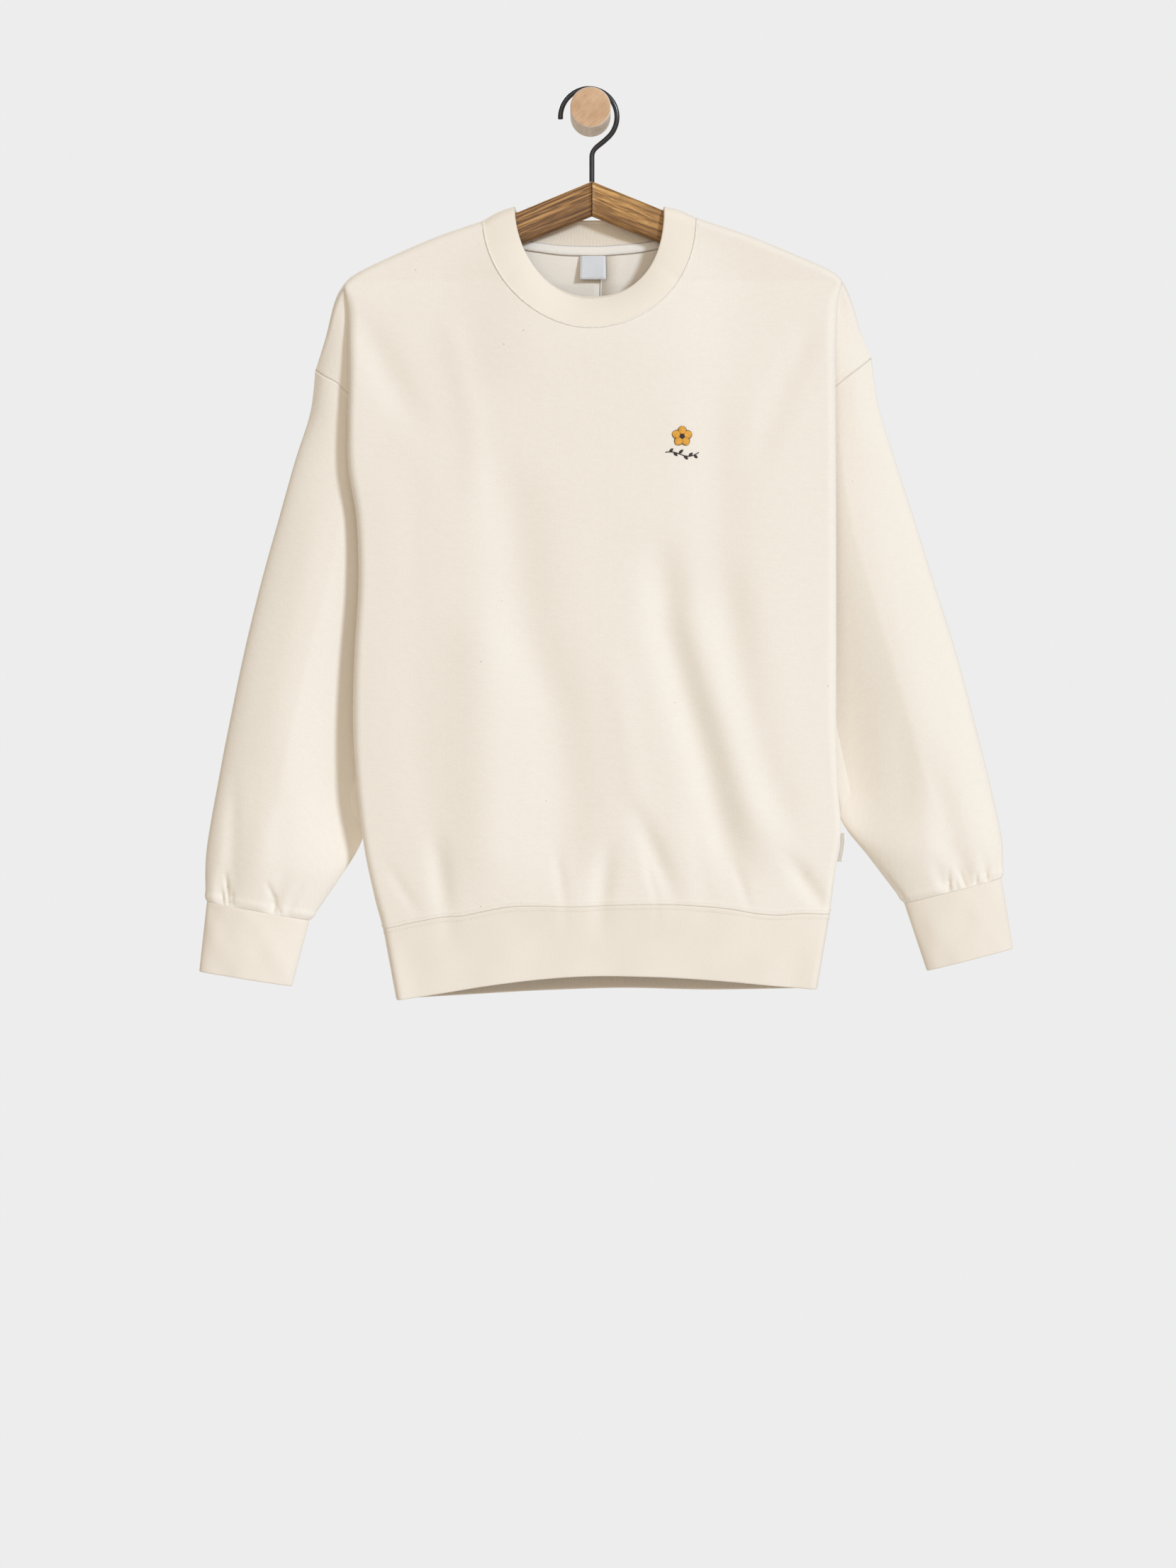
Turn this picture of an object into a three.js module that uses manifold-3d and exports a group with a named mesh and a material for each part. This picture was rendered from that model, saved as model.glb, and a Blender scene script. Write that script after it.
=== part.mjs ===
// A crewneck sweatshirt hanging on a wooden hanger from a wall peg, in millimetres.
// +Z is up, the front faces -Y and the wearer's left is +X. The origin is the centre
// of the peg's back face, which is flat against the wall plane y = 0.
import * as THREE from 'three';
import * as BufferGeometryUtils from 'three/addons/utils/BufferGeometryUtils.js';
import Module from 'manifold-3d';

const wasm = await Module();
wasm.setup();

// Driving sizes
const CLOTH = 2.0; // fleece wall
const RIB = 2.6; // doubled ribbing of hem, cuffs and collar
const SEAM_GAP = 0.38; // between two pieces that are sewn together
const RIDGE_Y = -27; // plane of the hanger, where front and back meet on the shoulder
const RIDGE_ROUND = 9.8; // radius of the cloth as it rolls over the hanger's arm
const RIDGE_SLOPE = 0.38; // rise of the arms from the neck to the middle
const RIDGE_SPAN = 0.032; // share of the panel's length that this roll takes
const FRONT_SIGN = -1;
const BACK_SIGN = 1;

const PEG_RADIUS = 17.2;
const PEG_LENGTH = 50;
const WIRE_RADIUS = 2.2;
const HOOK_RADIUS = 24;
const HOOK_X = -1.5;
const STEM_X = 1.2;
const ARM_THICKNESS = 10.4;
const ARM_HEIGHT = 28;
const APEX_Z = -59.5;
const STEM_HOLE = 14; // depth of the hook's hole in the mitre

const CREAM = { color: 0xece5d8, roughness: 0.95, metalness: 0 };
const RIB_CREAM = { color: 0xe6ddd0, roughness: 0.95, metalness: 0 };
const TAPE_WHITE = { color: 0xf2eee6, roughness: 0.9, metalness: 0 };
const LABEL_GREY = { color: 0xc6cbce, roughness: 0.7, metalness: 0 };
const AMBER = { color: 0xe7a83a, roughness: 0.6, metalness: 0 };
const DARK_THREAD = { color: 0x2c2420, roughness: 0.6, metalness: 0 };
const OAK = { color: 0x9c7443, roughness: 0.6, metalness: 0 };
const BEECH = { color: 0xd9b896, roughness: 0.6, metalness: 0 };
const BLACK_METAL = { color: 0x15151a, roughness: 0.3, metalness: 0.8 };

// The shoulder's outline from the neck to the dropped shoulder point, one row a bend
const SHOULDER = {
  left: [
    { x: 90.0, z: -90.5 },
    { x: 132.0, z: -104.4 },
    { x: 172.0, z: -120.8 },
    { x: 201.0, z: -133.6 },
    { x: 213.5, z: -143.5 },
    { x: 222.5, z: -163.0 },
    { x: 229.5, z: -187.0 },
    { x: 238.5, z: -210.0 },
  ],
  right: [
    { x: -91.0, z: -92.5 },
    { x: -131.0, z: -106.4 },
    { x: -168.0, z: -122.4 },
    { x: -197.0, z: -136.4 },
    { x: -209.5, z: -147.0 },
    { x: -217.5, z: -162.0 },
    { x: -225.0, z: -192.0 },
    { x: -233.7, z: -220.2 },
  ],
};
const TIP_ROW = 4; // the row of SHOULDER over the hanger's tip

// Each side of the body from the hanger's tip to the hem, one row a level: the fold that
// makes the body's edge (foldX, foldZ), the depth of the panels' faces there (front, back),
// the armhole and side seam behind it (seamX, seamY, seamZ), how far the cloth tucks in
// behind the fold, and the fold's radius
const SIDE = {
  left: [
    { foldX: 213.5, foldZ: -143.5, front: -36.8, back: -17.2, seamX: 238.5, seamY: -27, seamZ: -210, tuck: 0, lead: 8, round: 0.5 },
    { foldX: 209.6, foldZ: -166, front: -42, back: -14, seamX: 228, seamY: -33, seamZ: -218.5, tuck: 5, lead: 10, round: 4 },
    { foldX: 207.8, foldZ: -197, front: -48, back: -11, seamX: 216, seamY: -36, seamZ: -227.5, tuck: 12, lead: 6, round: 6 },
    { foldX: 207.3, foldZ: -230, front: -52, back: -9, seamX: 199, seamY: -36, seamZ: -242, tuck: 12, lead: -4, round: 5 },
    { foldX: 207.3, foldZ: -265, front: -56, back: -8, seamX: 177, seamY: -34, seamZ: -267, tuck: 6, lead: -14, round: 5 },
    { foldX: 207.3, foldZ: -302, front: -59, back: -7, seamX: 157, seamY: -32, seamZ: -300, tuck: 2, lead: -18, round: 5 },
    { foldX: 207.3, foldZ: -345, front: -61, back: -6, seamX: 145, seamY: -30, seamZ: -340, tuck: 0, lead: -20, round: 5 },
    { foldX: 207.3, foldZ: -400, front: -62, back: -5, seamX: 150, seamY: -30, seamZ: -397, tuck: 0, lead: -20, round: 5 },
    { foldX: 207.3, foldZ: -460, front: -62, back: -4.5, seamX: 162, seamY: -30, seamZ: -460, tuck: 0, lead: -16, round: 5 },
    { foldX: 207.3, foldZ: -520, front: -61, back: -4.5, seamX: 178, seamY: -30, seamZ: -520, tuck: 0, lead: -12, round: 5 },
    { foldX: 208.3, foldZ: -568, front: -58, back: -5, seamX: 194, seamY: -30, seamZ: -570, tuck: 0, lead: -6, round: 5.5 },
    { foldX: 211.3, foldZ: -611, front: -54, back: -6, seamX: 211, seamY: -31, seamZ: -611, tuck: 0, lead: 0, round: 5.5 },
    { foldX: 206.6, foldZ: -646, front: -50, back: -7, seamX: 207.4, seamY: -31, seamZ: -646, tuck: 0, lead: 0, round: 6 },
    { foldX: 202.2, foldZ: -681.5, front: -46, back: -8, seamX: 203, seamY: -30, seamZ: -681.5, tuck: 0, lead: 0, round: 6 },
  ],
  right: [
    { foldX: -209.5, foldZ: -147, front: -36.8, back: -17.2, seamX: -233.7, seamY: -27, seamZ: -220.2, tuck: 0, lead: 8, round: 0.5 },
    { foldX: -206.4, foldZ: -170, front: -42, back: -14, seamX: -226, seamY: -33, seamZ: -225.6, tuck: 5, lead: 10, round: 4 },
    { foldX: -205.4, foldZ: -202, front: -48, back: -11, seamX: -215, seamY: -36, seamZ: -231.5, tuck: 12, lead: 6, round: 6 },
    { foldX: -204.9, foldZ: -236, front: -52, back: -9, seamX: -200, seamY: -36, seamZ: -245, tuck: 12, lead: -4, round: 5 },
    { foldX: -205.1, foldZ: -270, front: -56, back: -8, seamX: -178, seamY: -34, seamZ: -270, tuck: 6, lead: -14, round: 5 },
    { foldX: -204.2, foldZ: -306, front: -59, back: -7, seamX: -156, seamY: -32, seamZ: -306, tuck: 2, lead: -18, round: 5 },
    { foldX: -197.4, foldZ: -348, front: -61, back: -6, seamX: -138, seamY: -30, seamZ: -350, tuck: 0, lead: -20, round: 5 },
    { foldX: -195.6, foldZ: -402, front: -62, back: -5, seamX: -141, seamY: -30, seamZ: -404, tuck: 0, lead: -20, round: 5 },
    { foldX: -198.8, foldZ: -460, front: -62, back: -4.5, seamX: -150, seamY: -30, seamZ: -460, tuck: 0, lead: -16, round: 5 },
    { foldX: -200.2, foldZ: -518, front: -61, back: -4.5, seamX: -161, seamY: -30, seamZ: -518, tuck: 0, lead: -12, round: 5 },
    { foldX: -197.4, foldZ: -568, front: -58, back: -5, seamX: -172, seamY: -30, seamZ: -568, tuck: 0, lead: -9, round: 5.5 },
    { foldX: -191.7, foldZ: -621, front: -54, back: -6, seamX: -184, seamY: -31, seamZ: -619, tuck: 0, lead: -2, round: 5.5 },
    { foldX: -184.4, foldZ: -659, front: -50, back: -7, seamX: -184.6, seamY: -31, seamZ: -659, tuck: 0, lead: 0, round: 6 },
    { foldX: -175.0, foldZ: -694, front: -46, back: -8, seamX: -175.8, seamY: -30, seamZ: -694, tuck: 0, lead: 0, round: 6 },
  ],
};
const LEVELS = SIDE.left.length - 1;
const ARMPIT_ROW = 6;
const BACK_FOLD_INSET = 4; // the back's folds lie this far inside the front's
const CROWN = [0, 1, 2, 3, 5, 6, 7, 8, 9, 9, 9, 9, 9, 9]; // bulge of the middle at each level
const BACK_CROWN = 0.22; // the back against the wall bulges this share of it

// Necklines, as half an oval whose fullness differs between the two sides
const NECK_X = -0.6;
const NECK_SHARE = 0.27; // the neck begins at this share of the panel's width
const FRONT_NECK_DROP = 95;
const BACK_NECK_DROP = 21;
const NECK_FULLNESS = { left: 2.1, right: 1.85 };
const FRONT_NECK_Y = -46;
const NECK_LEAN = { halfWidth: 95, from: -300, to: -190, start: 60 }; // where the neck stands forward
const BACK_NECK_Y = -17;
// Angles in degrees, close together where the cloth rolls over the arms
const FRONT_NECK_ANGLES = [0, 1.2, 3, 6, 12, 22, 33, 44, 56, 68, 79];
const BACK_NECK_ANGLES = [0, 2.5, 7, 13, 22, 38, 62];
const CENTRE_SEAM = 0.515; // centre back seam, as a share of the back's width

// The line of the hem seam, one row a bend
const HEM_SEAM = [
  { at: 0, z: -694 },
  { at: 0.085, z: -687 },
  { at: 0.21, z: -680.4 },
  { at: 0.3, z: -674.8 },
  { at: 0.42, z: -673.8 },
  { at: 0.6, z: -673.4 },
  { at: 0.72, z: -674.4 },
  { at: 0.86, z: -681.6 },
  { at: 1, z: -681.5 },
];

// Folds of the front: a path from its top to its low end, the half width and the depth,
// which is positive in a valley and negative on a ridge
const FRONT_FOLDS = [
  { name: 'long valley', width: 13, depth: 9, path: [[60, -385], [66, -443], [80, -495], [95, -545], [107, -595], [118, -640]] },
  { name: 'ridge beside it', width: 14, depth: -7, path: [[84, -430], [101, -486], [119, -536], [136, -586], [151, -624]] },
  { name: 'outer valley', width: 12, depth: 5, path: [[115, -400], [127, -492], [137, -542], [160, -607]] },
  { name: 'chest valley', width: 20, depth: 3.5, path: [[104, -250], [106, -350], [108, -480]] },
  { name: 'middle valley', width: 24, depth: 6, path: [[-68, -310], [-58, -437], [-31, -507], [-20, -590], [-24, -650]] },
  { name: 'side ridge', width: 24, depth: -5, path: [[-92, -430], [-90, -540], [-88, -657]] },
  { name: 'shoulder drag', width: 16, depth: 3, path: [[-196, -175], [-176, -215], [-152, -262]] },
  { name: 'side pucker', width: 9, depth: 3, path: [[-130, -622], [-122, -680]] },
  { name: 'hem pucker', width: 9, depth: 3, path: [[14, -630], [8, -680]] },
  { name: 'hem pucker', width: 10, depth: 3.5, path: [[42, -600], [66, -660]] },
  { name: 'corner pucker', width: 9, depth: 3, path: [[170, -636], [196, -676]] },
];
const BACK_FOLDS = [
  { name: 'back valley', width: 18, depth: -5, path: [[-96, -330], [-88, -480], [-70, -640]] },
  { name: 'back valley', width: 16, depth: -4.5, path: [[84, -360], [98, -500], [112, -640]] },
  { name: 'back pucker', width: 11, depth: -3, path: [[30, -590], [36, -676]] },
];
const FOLD_FADE = 34; // a fold fades out over this length past its ends

// Each sleeve as rings from the armhole to the cuff: the outer end of the flattened ring,
// its inner end, and half its depth
const SLEEVE = {
  left: [
    { outX: 238.5, outZ: -210, inX: 145, inZ: -340, depth: 11 },
    { outX: 245, outZ: -252, inX: 149.5, inZ: -372, depth: 13 },
    { outX: 258.5, outZ: -296, inX: 156, inZ: -404, depth: 15.5 },
    { outX: 274.6, outZ: -346, inX: 165, inZ: -440, depth: 17 },
    { outX: 292.8, outZ: -404, inX: 176, inZ: -482, depth: 18 },
    { outX: 311, outZ: -462, inX: 188, inZ: -524, depth: 19 },
    { outX: 326.5, outZ: -520, inX: 200.5, inZ: -566, depth: 20 },
    { outX: 339.5, outZ: -572, inX: 214, inZ: -604, depth: 20 },
    { outX: 349.5, outZ: -618, inX: 237, inZ: -634, depth: 19 },
    { outX: 350.5, outZ: -650.5, inX: 266, inZ: -672, depth: 13 },
  ],
  right: [
    { outX: -233.7, outZ: -220.2, inX: -138, inZ: -350, depth: 11 },
    { outX: -238, outZ: -256, inX: -141.5, inZ: -383, depth: 13 },
    { outX: -250.5, outZ: -296, inX: -147, inZ: -415, depth: 15.5 },
    { outX: -264, outZ: -344, inX: -154, inZ: -450, depth: 17 },
    { outX: -279, outZ: -398, inX: -162.5, inZ: -490, depth: 18 },
    { outX: -293, outZ: -455, inX: -172, inZ: -530, depth: 19 },
    { outX: -305, outZ: -512, inX: -182.5, inZ: -575, depth: 20 },
    { outX: -314.5, outZ: -560, inX: -194, inZ: -619, depth: 20 },
    { outX: -326.3, outZ: -628, inX: -213.5, inZ: -652, depth: 19 },
    { outX: -327, outZ: -670.5, inX: -237.5, inZ: -686.5, depth: 13 },
  ],
};
const SLEEVE_Y = { armhole: -30, cuff: -26 };
const ARMHOLE_BLEND = 0.3; // the ring keeps the armhole's own curve over this share
const ARMPIT_EASE = 2.6; // the sleeve stands this far out of the fold at the armpit
const WEDGE_TO = 0.7; // so far the sleeve's inner edge is thin, tucked into the body's side

// Gathers of each sleeve into its cuff: the angle round the sleeve from its outer edge by
// way of the front, in turns, with the half width in turns and the depth
const GATHERS = {
  left: [
    { turn: 0.07, width: 0.018, depth: 2.4 },
    { turn: 0.13, width: 0.02, depth: 3.2 },
    { turn: 0.2, width: 0.024, depth: 3.6 },
    { turn: 0.27, width: 0.02, depth: 3.0 },
    { turn: 0.45, width: 0.02, depth: 2.4 },
    { turn: 0.6, width: 0.022, depth: 3.0 },
    { turn: 0.73, width: 0.024, depth: 3.2 },
    { turn: 0.86, width: 0.02, depth: 2.6 },
  ],
  right: [
    { turn: 0.12, width: 0.022, depth: 4.0 },
    { turn: 0.29, width: 0.02, depth: 3.4 },
    { turn: 0.34, width: 0.016, depth: 2.4 },
    { turn: 0.58, width: 0.022, depth: 3.0 },
    { turn: 0.71, width: 0.024, depth: 3.4 },
    { turn: 0.88, width: 0.02, depth: 2.8 },
  ],
};
const GATHER_REACH = 0.12; // gathers fade out over this share of the sleeve
const SLEEVE_FOLDS = {
  left: [{ turn: 0.22, width: 0.05, depth: 2.6, from: 0.62, to: 0.95 }],
  right: [
    { turn: 0.17, width: 0.035, depth: 3.6, from: 0.7, to: 1.0 },
    { turn: 0.74, width: 0.06, depth: 3, from: 0.4, to: 0.9 },
  ],
};

const CUFF = {
  left: { top: { outX: 349.4, outZ: -651.2, inX: 266.7, inZ: -672.8 }, end: { outX: 359, outZ: -710, inX: 285.5, inZ: -729 } },
  right: { top: { outX: -326, outZ: -671.2, inX: -238.8, inZ: -687.2 }, end: { outX: -332.4, outZ: -729.5, inX: -253.3, inZ: -742.2 } },
};
const CUFF_DEPTH = { top: 12, end: 10 };

// The rib's low edge, front and back, one row a bend across from the wearer's right
const HEM_EDGE = {
  left: { x: 191.6, z: -744 },
  right: { x: -164, z: -753.2 },
  y: -30,
  front: [
    { at: 0, z: -753.2 },
    { at: 0.1, z: -747.6 },
    { at: 0.24, z: -739.6 },
    { at: 0.42, z: -733.2 },
    { at: 0.62, z: -733.4 },
    { at: 0.78, z: -737 },
    { at: 0.9, z: -741 },
    { at: 1, z: -744 },
  ],
  back: [
    { at: 0, z: -753.2 },
    { at: 0.15, z: -750 },
    { at: 0.35, z: -746 },
    { at: 0.52, z: -744 },
    { at: 0.75, z: -745.4 },
    { at: 1, z: -744 },
  ],
  inward: 6, // the rib draws in by this at its low edge
};

const COLLAR = {
  x: -1.0,
  halfWidth: 64.5,
  topZ: -80.6,
  frontZ: -159.4,
  backZ: -89.8,
  frontY: -42.5,
  backY: -15.5,
  fullness: { left: 2.35, right: 1.97 },
  round: 1.4,
  crestRound: 10.6,
};

const NECK_TAPE = { width: 6.4, thickness: 0.8, reach: 74, lift: 0.34 };
const NECK_LABEL = { x: 2, y: -20.1, width: 21.6, height: 20.8, thickness: 0.7, topZ: -119.7, lean: -4 };
const SIDE_LABEL = { topZ: -613, lowZ: -637, width: 6.4, thickness: 0.9 };
const MOTIF = { x: 77, z: -279, petals: 5, radius: 8.6, thickness: 0.9, lift: 0.8 };

// Small helpers
const clamp = (value, low, high) => Math.min(high, Math.max(low, value));
const mix = (a, b, t) => a + (b - a) * t;
const smooth = (t) => {
  const s = clamp(t, 0, 1);
  return s * s * (3 - 2 * s);
};
const sideOf = (x) => (x < 0 ? 'right' : 'left');

// A smooth curve through one column of a table, at a place counted in rows
function along(rows, column, place) {
  const last = rows.length - 1;
  const first = clamp(Math.floor(place), 0, last - 1);
  const t = place - first;
  const at = (row) => {
    const item = rows[clamp(row, 0, last)];
    return column === null ? item : item[column];
  };
  const [p0, p1, p2, p3] = [at(first - 1), at(first), at(first + 1), at(first + 2)];
  const slope1 = (p2 - p0) / 2;
  const slope2 = (p3 - p1) / 2;
  const t2 = t * t;
  const t3 = t2 * t;
  return (2 * t3 - 3 * t2 + 1) * p1 + (t3 - 2 * t2 + t) * slope1
    + (3 * t2 - 2 * t3) * p2 + (t3 - t2) * slope2;
}

// The same for a table whose rows say where they lie in a column named at
function alongAt(rows, column, place) {
  let row = 0;
  while (row < rows.length - 2 && place > rows[row + 1].at) row += 1;
  const t = (place - rows[row].at) / (rows[row + 1].at - rows[row].at);
  return along(rows, column, row + clamp(t, 0, 1));
}

// How far a quarter circle has turned out after dropping a distance
function rollOut(drop, radius) {
  const left = 1 - clamp(drop / radius, 0, 1);
  return radius * Math.sqrt(1 - left * left);
}

// The line of the cloth's crest over the arms, carried on from the shoulders to the middle
function crestZ(x) {
  const start = SHOULDER[sideOf(x)][0];
  return start.z + (Math.abs(start.x) - Math.abs(x)) * RIDGE_SLOPE;
}

// One, falling to nothing over a quarter circle of the given span
function rollOff(distance, span) {
  const left = 1 - clamp(distance / span, 0, 1);
  return 1 - Math.sqrt(1 - left * left);
}

// How deep the folds press at a place on a panel
function foldDepth(folds, x, z) {
  let depth = 0;
  for (const fold of folds) {
    const path = fold.path;
    const low = path[path.length - 1];
    const fade = smooth((path[0][1] + FOLD_FADE - z) / (2 * FOLD_FADE))
      * smooth((z - low[1] + FOLD_FADE) / (2 * FOLD_FADE));
    if (fade === 0) continue;
    let row = 0;
    while (row < path.length - 2 && z < path[row + 1][1]) row += 1;
    const [from, to] = [path[row], path[row + 1]];
    const t = clamp((z - from[1]) / (to[1] - from[1]), -0.5, 1.5);
    const away = (x - mix(from[0], to[0], t)) / fold.width;
    depth += fold.depth * fade * Math.exp(-away * away);
  }
  return depth;
}

// Front and back panels: a field between the two folds, and a strip at each side that
// turns behind the fold to the armhole and side seam
const FRONT = {
  sign: FRONT_SIGN, face: 'front', inset: 0, crown: 1, folds: FRONT_FOLDS,
  neckDrop: FRONT_NECK_DROP, neckY: FRONT_NECK_Y,
};
const BACK = {
  sign: BACK_SIGN, face: 'back', inset: BACK_FOLD_INSET, crown: BACK_CROWN, folds: BACK_FOLDS,
  neckDrop: BACK_NECK_DROP, neckY: BACK_NECK_Y,
};

// The angle round the neck at a share of the panel's width, or null on the shoulders
function neckAngle(share) {
  const t = (share - NECK_SHARE) / (1 - 2 * NECK_SHARE);
  return t < 0 || t > 1 ? null : t * Math.PI;
}

function foldLine(panel, side, place) {
  const rows = SIDE[side];
  const inward = side === 'left' ? -1 : 1;
  const inset = panel.inset * smooth(place / 2) * (1 - smooth((place - 10) / 2));
  return {
    x: along(rows, 'foldX', place) + inward * inset,
    z: along(rows, 'foldZ', place),
    face: along(rows, panel.face, place),
    round: along(rows, 'round', place),
  };
}

// The level of a height, counted in rows of SIDE
function placeOf(z) {
  let low = 0;
  let high = LEVELS;
  for (let i = 0; i < 24; i += 1) {
    const place = (low + high) / 2;
    const level = (along(SIDE.left, 'foldZ', place) + along(SIDE.right, 'foldZ', place)) / 2;
    if (level > z) low = place;
    else high = place;
  }
  return low;
}

// Depth of a panel's face at a place, before its edges turn
function faceAt(panel, x, z) {
  const place = placeOf(z);
  const right = foldLine(panel, 'right', place);
  const left = foldLine(panel, 'left', place);
  const share = clamp((x - right.x) / (left.x - right.x), 0, 1);
  const middle = 1 - Math.abs(2 * share - 1) ** 2.6;
  const crown = panel.crown * along(CROWN, null, place) * middle;
  const further = Math.abs(panel.neckY - RIDGE_Y) - RIDGE_ROUND;
  const lean = further * Math.exp(-(((x - NECK_X) / NECK_LEAN.halfWidth) ** 4))
    * smooth((z - NECK_LEAN.from) / (NECK_LEAN.to - NECK_LEAN.from)) * smooth((crestZ(x) - z) / NECK_LEAN.start);
  return mix(right.face, left.face, share) + panel.sign * (crown + lean);
}

// The panel's top edge: shoulder, neckline, shoulder
function topEdge(panel, share) {
  const angle = neckAngle(share);
  if (angle === null) {
    const side = share < 0.5 ? 'right' : 'left';
    const out = 1 - Math.min(share, 1 - share) / NECK_SHARE;
    const place = TIP_ROW * out;
    const x = along(SHOULDER[side], 'x', place);
    const z = along(SHOULDER[side], 'z', place);
    return { x, z, y: RIDGE_Y, face: faceAt(panel, x, z) };
  }
  const side = angle < Math.PI / 2 ? 'right' : 'left';
  const power = 2 / NECK_FULLNESS[side];
  const across = Math.abs(Math.cos(angle)) ** power;
  const down = Math.sin(angle) ** power;
  const start = SHOULDER[side][0];
  const x = mix(NECK_X, start.x, across);
  const level = mix(SHOULDER.right[0].z, SHOULDER.left[0].z, (1 - Math.cos(angle)) / 2);
  const z = level - panel.neckDrop * down;
  const face = faceAt(panel, x, z);
  const y = mix(RIDGE_Y, face, rollOut(crestZ(x) - z, RIDGE_ROUND) / RIDGE_ROUND);
  return { x, z, y, face };
}

function fieldPoint(panel, share, level) {
  const place = level * LEVELS;
  const right = foldLine(panel, 'right', place);
  const left = foldLine(panel, 'left', place);
  const top = topEdge(panel, share);
  const ends = {
    right0: foldLine(panel, 'right', 0), right1: foldLine(panel, 'right', LEVELS),
    left0: foldLine(panel, 'left', 0), left1: foldLine(panel, 'left', LEVELS),
  };
  const bottom = { x: mix(ends.right1.x, ends.left1.x, share), z: alongAt(HEM_SEAM, 'z', share) };
  const patch = (key) => mix(top[key], bottom[key], level) + mix(right[key], left[key], share)
    - mix(mix(ends.right0[key], ends.left0[key], share), mix(ends.right1[key], ends.left1[key], share), level);
  const x = patch('x');
  const z = patch('z');
  let y = faceAt(panel, x, z) + foldDepth(panel.folds, x, z) * smooth(level / 0.1);
  y += (top.y - top.face) * rollOff(level, RIDGE_SPAN);
  const edge = Math.min(x - right.x, left.x - x);
  const round = x - right.x < left.x - x ? right.round : left.round;
  y -= panel.sign * round * rollOff(Math.max(edge, 0), round);
  return new THREE.Vector3(x, y, z);
}

// The seam that closes a side: the armhole down to the armpit, then the side seam
function seamPoint(panel, side, level) {
  const rows = SIDE[side];
  const place = level * LEVELS;
  const depth = along(rows, 'seamY', place);
  const y = panel.sign === FRONT_SIGN ? depth : 2 * SLEEVE_Y.armhole + 6 * (1 - smooth(place / ARMPIT_ROW)) - depth;
  return new THREE.Vector3(along(rows, 'seamX', place), y, along(rows, 'seamZ', place));
}

function stripPoint(panel, side, t, level) {
  const place = level * LEVELS;
  const rows = SIDE[side];
  const outward = side === 'left' ? 1 : -1;
  const fold = fieldPoint(panel, side === 'left' ? 1 : 0, level);
  const seam = seamPoint(panel, side, level);
  const tuck = along(rows, 'tuck', place);
  const lead = along(rows, 'lead', place);
  const deep = Math.min(6.5, Math.abs(seam.y - fold.y) * 0.6);
  const first = new THREE.Vector3(fold.x - outward * tuck, fold.y - panel.sign * deep, fold.z);
  const second = new THREE.Vector3(seam.x - outward * lead, seam.y + panel.sign * Math.abs(lead) * 0.3, seam.z + Math.max(lead, 0));
  const point = new THREE.CubicBezierCurve3(fold, first, second, seam).getPoint(t);
  const outline = smooth(1 - level / 0.14);
  if (outline > 0) {
    const top = new THREE.CubicBezierCurve3(...[0, 1, 2, 3].map((step) => topStrip(panel, side, step))).getPoint(t);
    const onLine = mix(TIP_ROW, SHOULDER[side].length - 1, t);
    point.x += (along(SHOULDER[side], 'x', onLine) - top.x) * outline;
    point.z += (along(SHOULDER[side], 'z', onLine) - top.z) * outline;
  }
  point.y += (RIDGE_Y - point.y) * rollOff(level, RIDGE_SPAN);
  return point;
}

// The four control points of the strip's topmost curve
function topStrip(panel, side, step) {
  const outward = side === 'left' ? 1 : -1;
  const fold = fieldPoint(panel, side === 'left' ? 1 : 0, 0);
  const seam = seamPoint(panel, side, 0);
  const lead = SIDE[side][0].lead;
  if (step === 0) return fold;
  if (step === 1) return fold.clone();
  if (step === 2) return new THREE.Vector3(seam.x - outward * lead, seam.y, seam.z + lead);
  return seam;
}

// A panel's columns: a strip, the field from one share to another, a strip
const STRIP_STEPS = [1, 0.82, 0.6, 0.36, 0.16];
const FOLD_STEPS = [0, 0.003, 0.011, 0.023];
function fieldShares(from, to, count) {
  const shares = [];
  for (let i = 0; i <= count; i += 1) shares.push(mix(from, to, i / count));
  return shares;
}

function columnsOf(parts) {
  return parts.flatMap(({ zone, steps }) => steps.map((step) => ({ zone, step })));
}

const NECK_END = 1 - NECK_SHARE;
const SHOULDER_SHARES = fieldShares(0.06, NECK_SHARE, 5);
const mirrored = (steps) => steps.map((step) => 1 - step).reverse();
const neckShares = (angles) => angles.map((angle) => mix(NECK_SHARE, NECK_END, angle / 180));
const FRONT_NECK = neckShares(FRONT_NECK_ANGLES);
const BACK_NECK = neckShares(BACK_NECK_ANGLES);
const FRONT_COLUMNS = columnsOf([
  { zone: 'right', steps: STRIP_STEPS },
  { zone: 'field', steps: [...FOLD_STEPS, ...SHOULDER_SHARES, ...FRONT_NECK.slice(1), 0.5, ...mirrored(FRONT_NECK).slice(0, -1),
    ...mirrored(SHOULDER_SHARES), ...mirrored(FOLD_STEPS)] },
  { zone: 'left', steps: [...STRIP_STEPS].reverse() },
]);
const BACK_SHOULDER = fieldShares(0.08, NECK_SHARE, 3);
const BACK_RIGHT_COLUMNS = columnsOf([
  { zone: 'right', steps: STRIP_STEPS },
  { zone: 'field', steps: [...FOLD_STEPS, ...BACK_SHOULDER, ...BACK_NECK.slice(1), CENTRE_SEAM] },
]);
const BACK_LEFT_COLUMNS = columnsOf([
  { zone: 'field', steps: [CENTRE_SEAM, ...mirrored(BACK_NECK).slice(0, -1), ...mirrored(BACK_SHOULDER), ...mirrored(FOLD_STEPS)] },
  { zone: 'left', steps: [...STRIP_STEPS].reverse() },
]);
const SHOULDER_LEVEL = 0.12; // above it the two walls are close together behind the tip
const PANEL_LEVELS = [0, 0.005, 0.014, 0.032, 0.06, 0.1, 0.145, 0.19, 0.24, 0.29, 0.34, 0.39, 0.44,
  0.49, 0.54, 0.6, 0.66, 0.72, 0.78, 0.84, 0.89, 0.94, 1];

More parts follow.
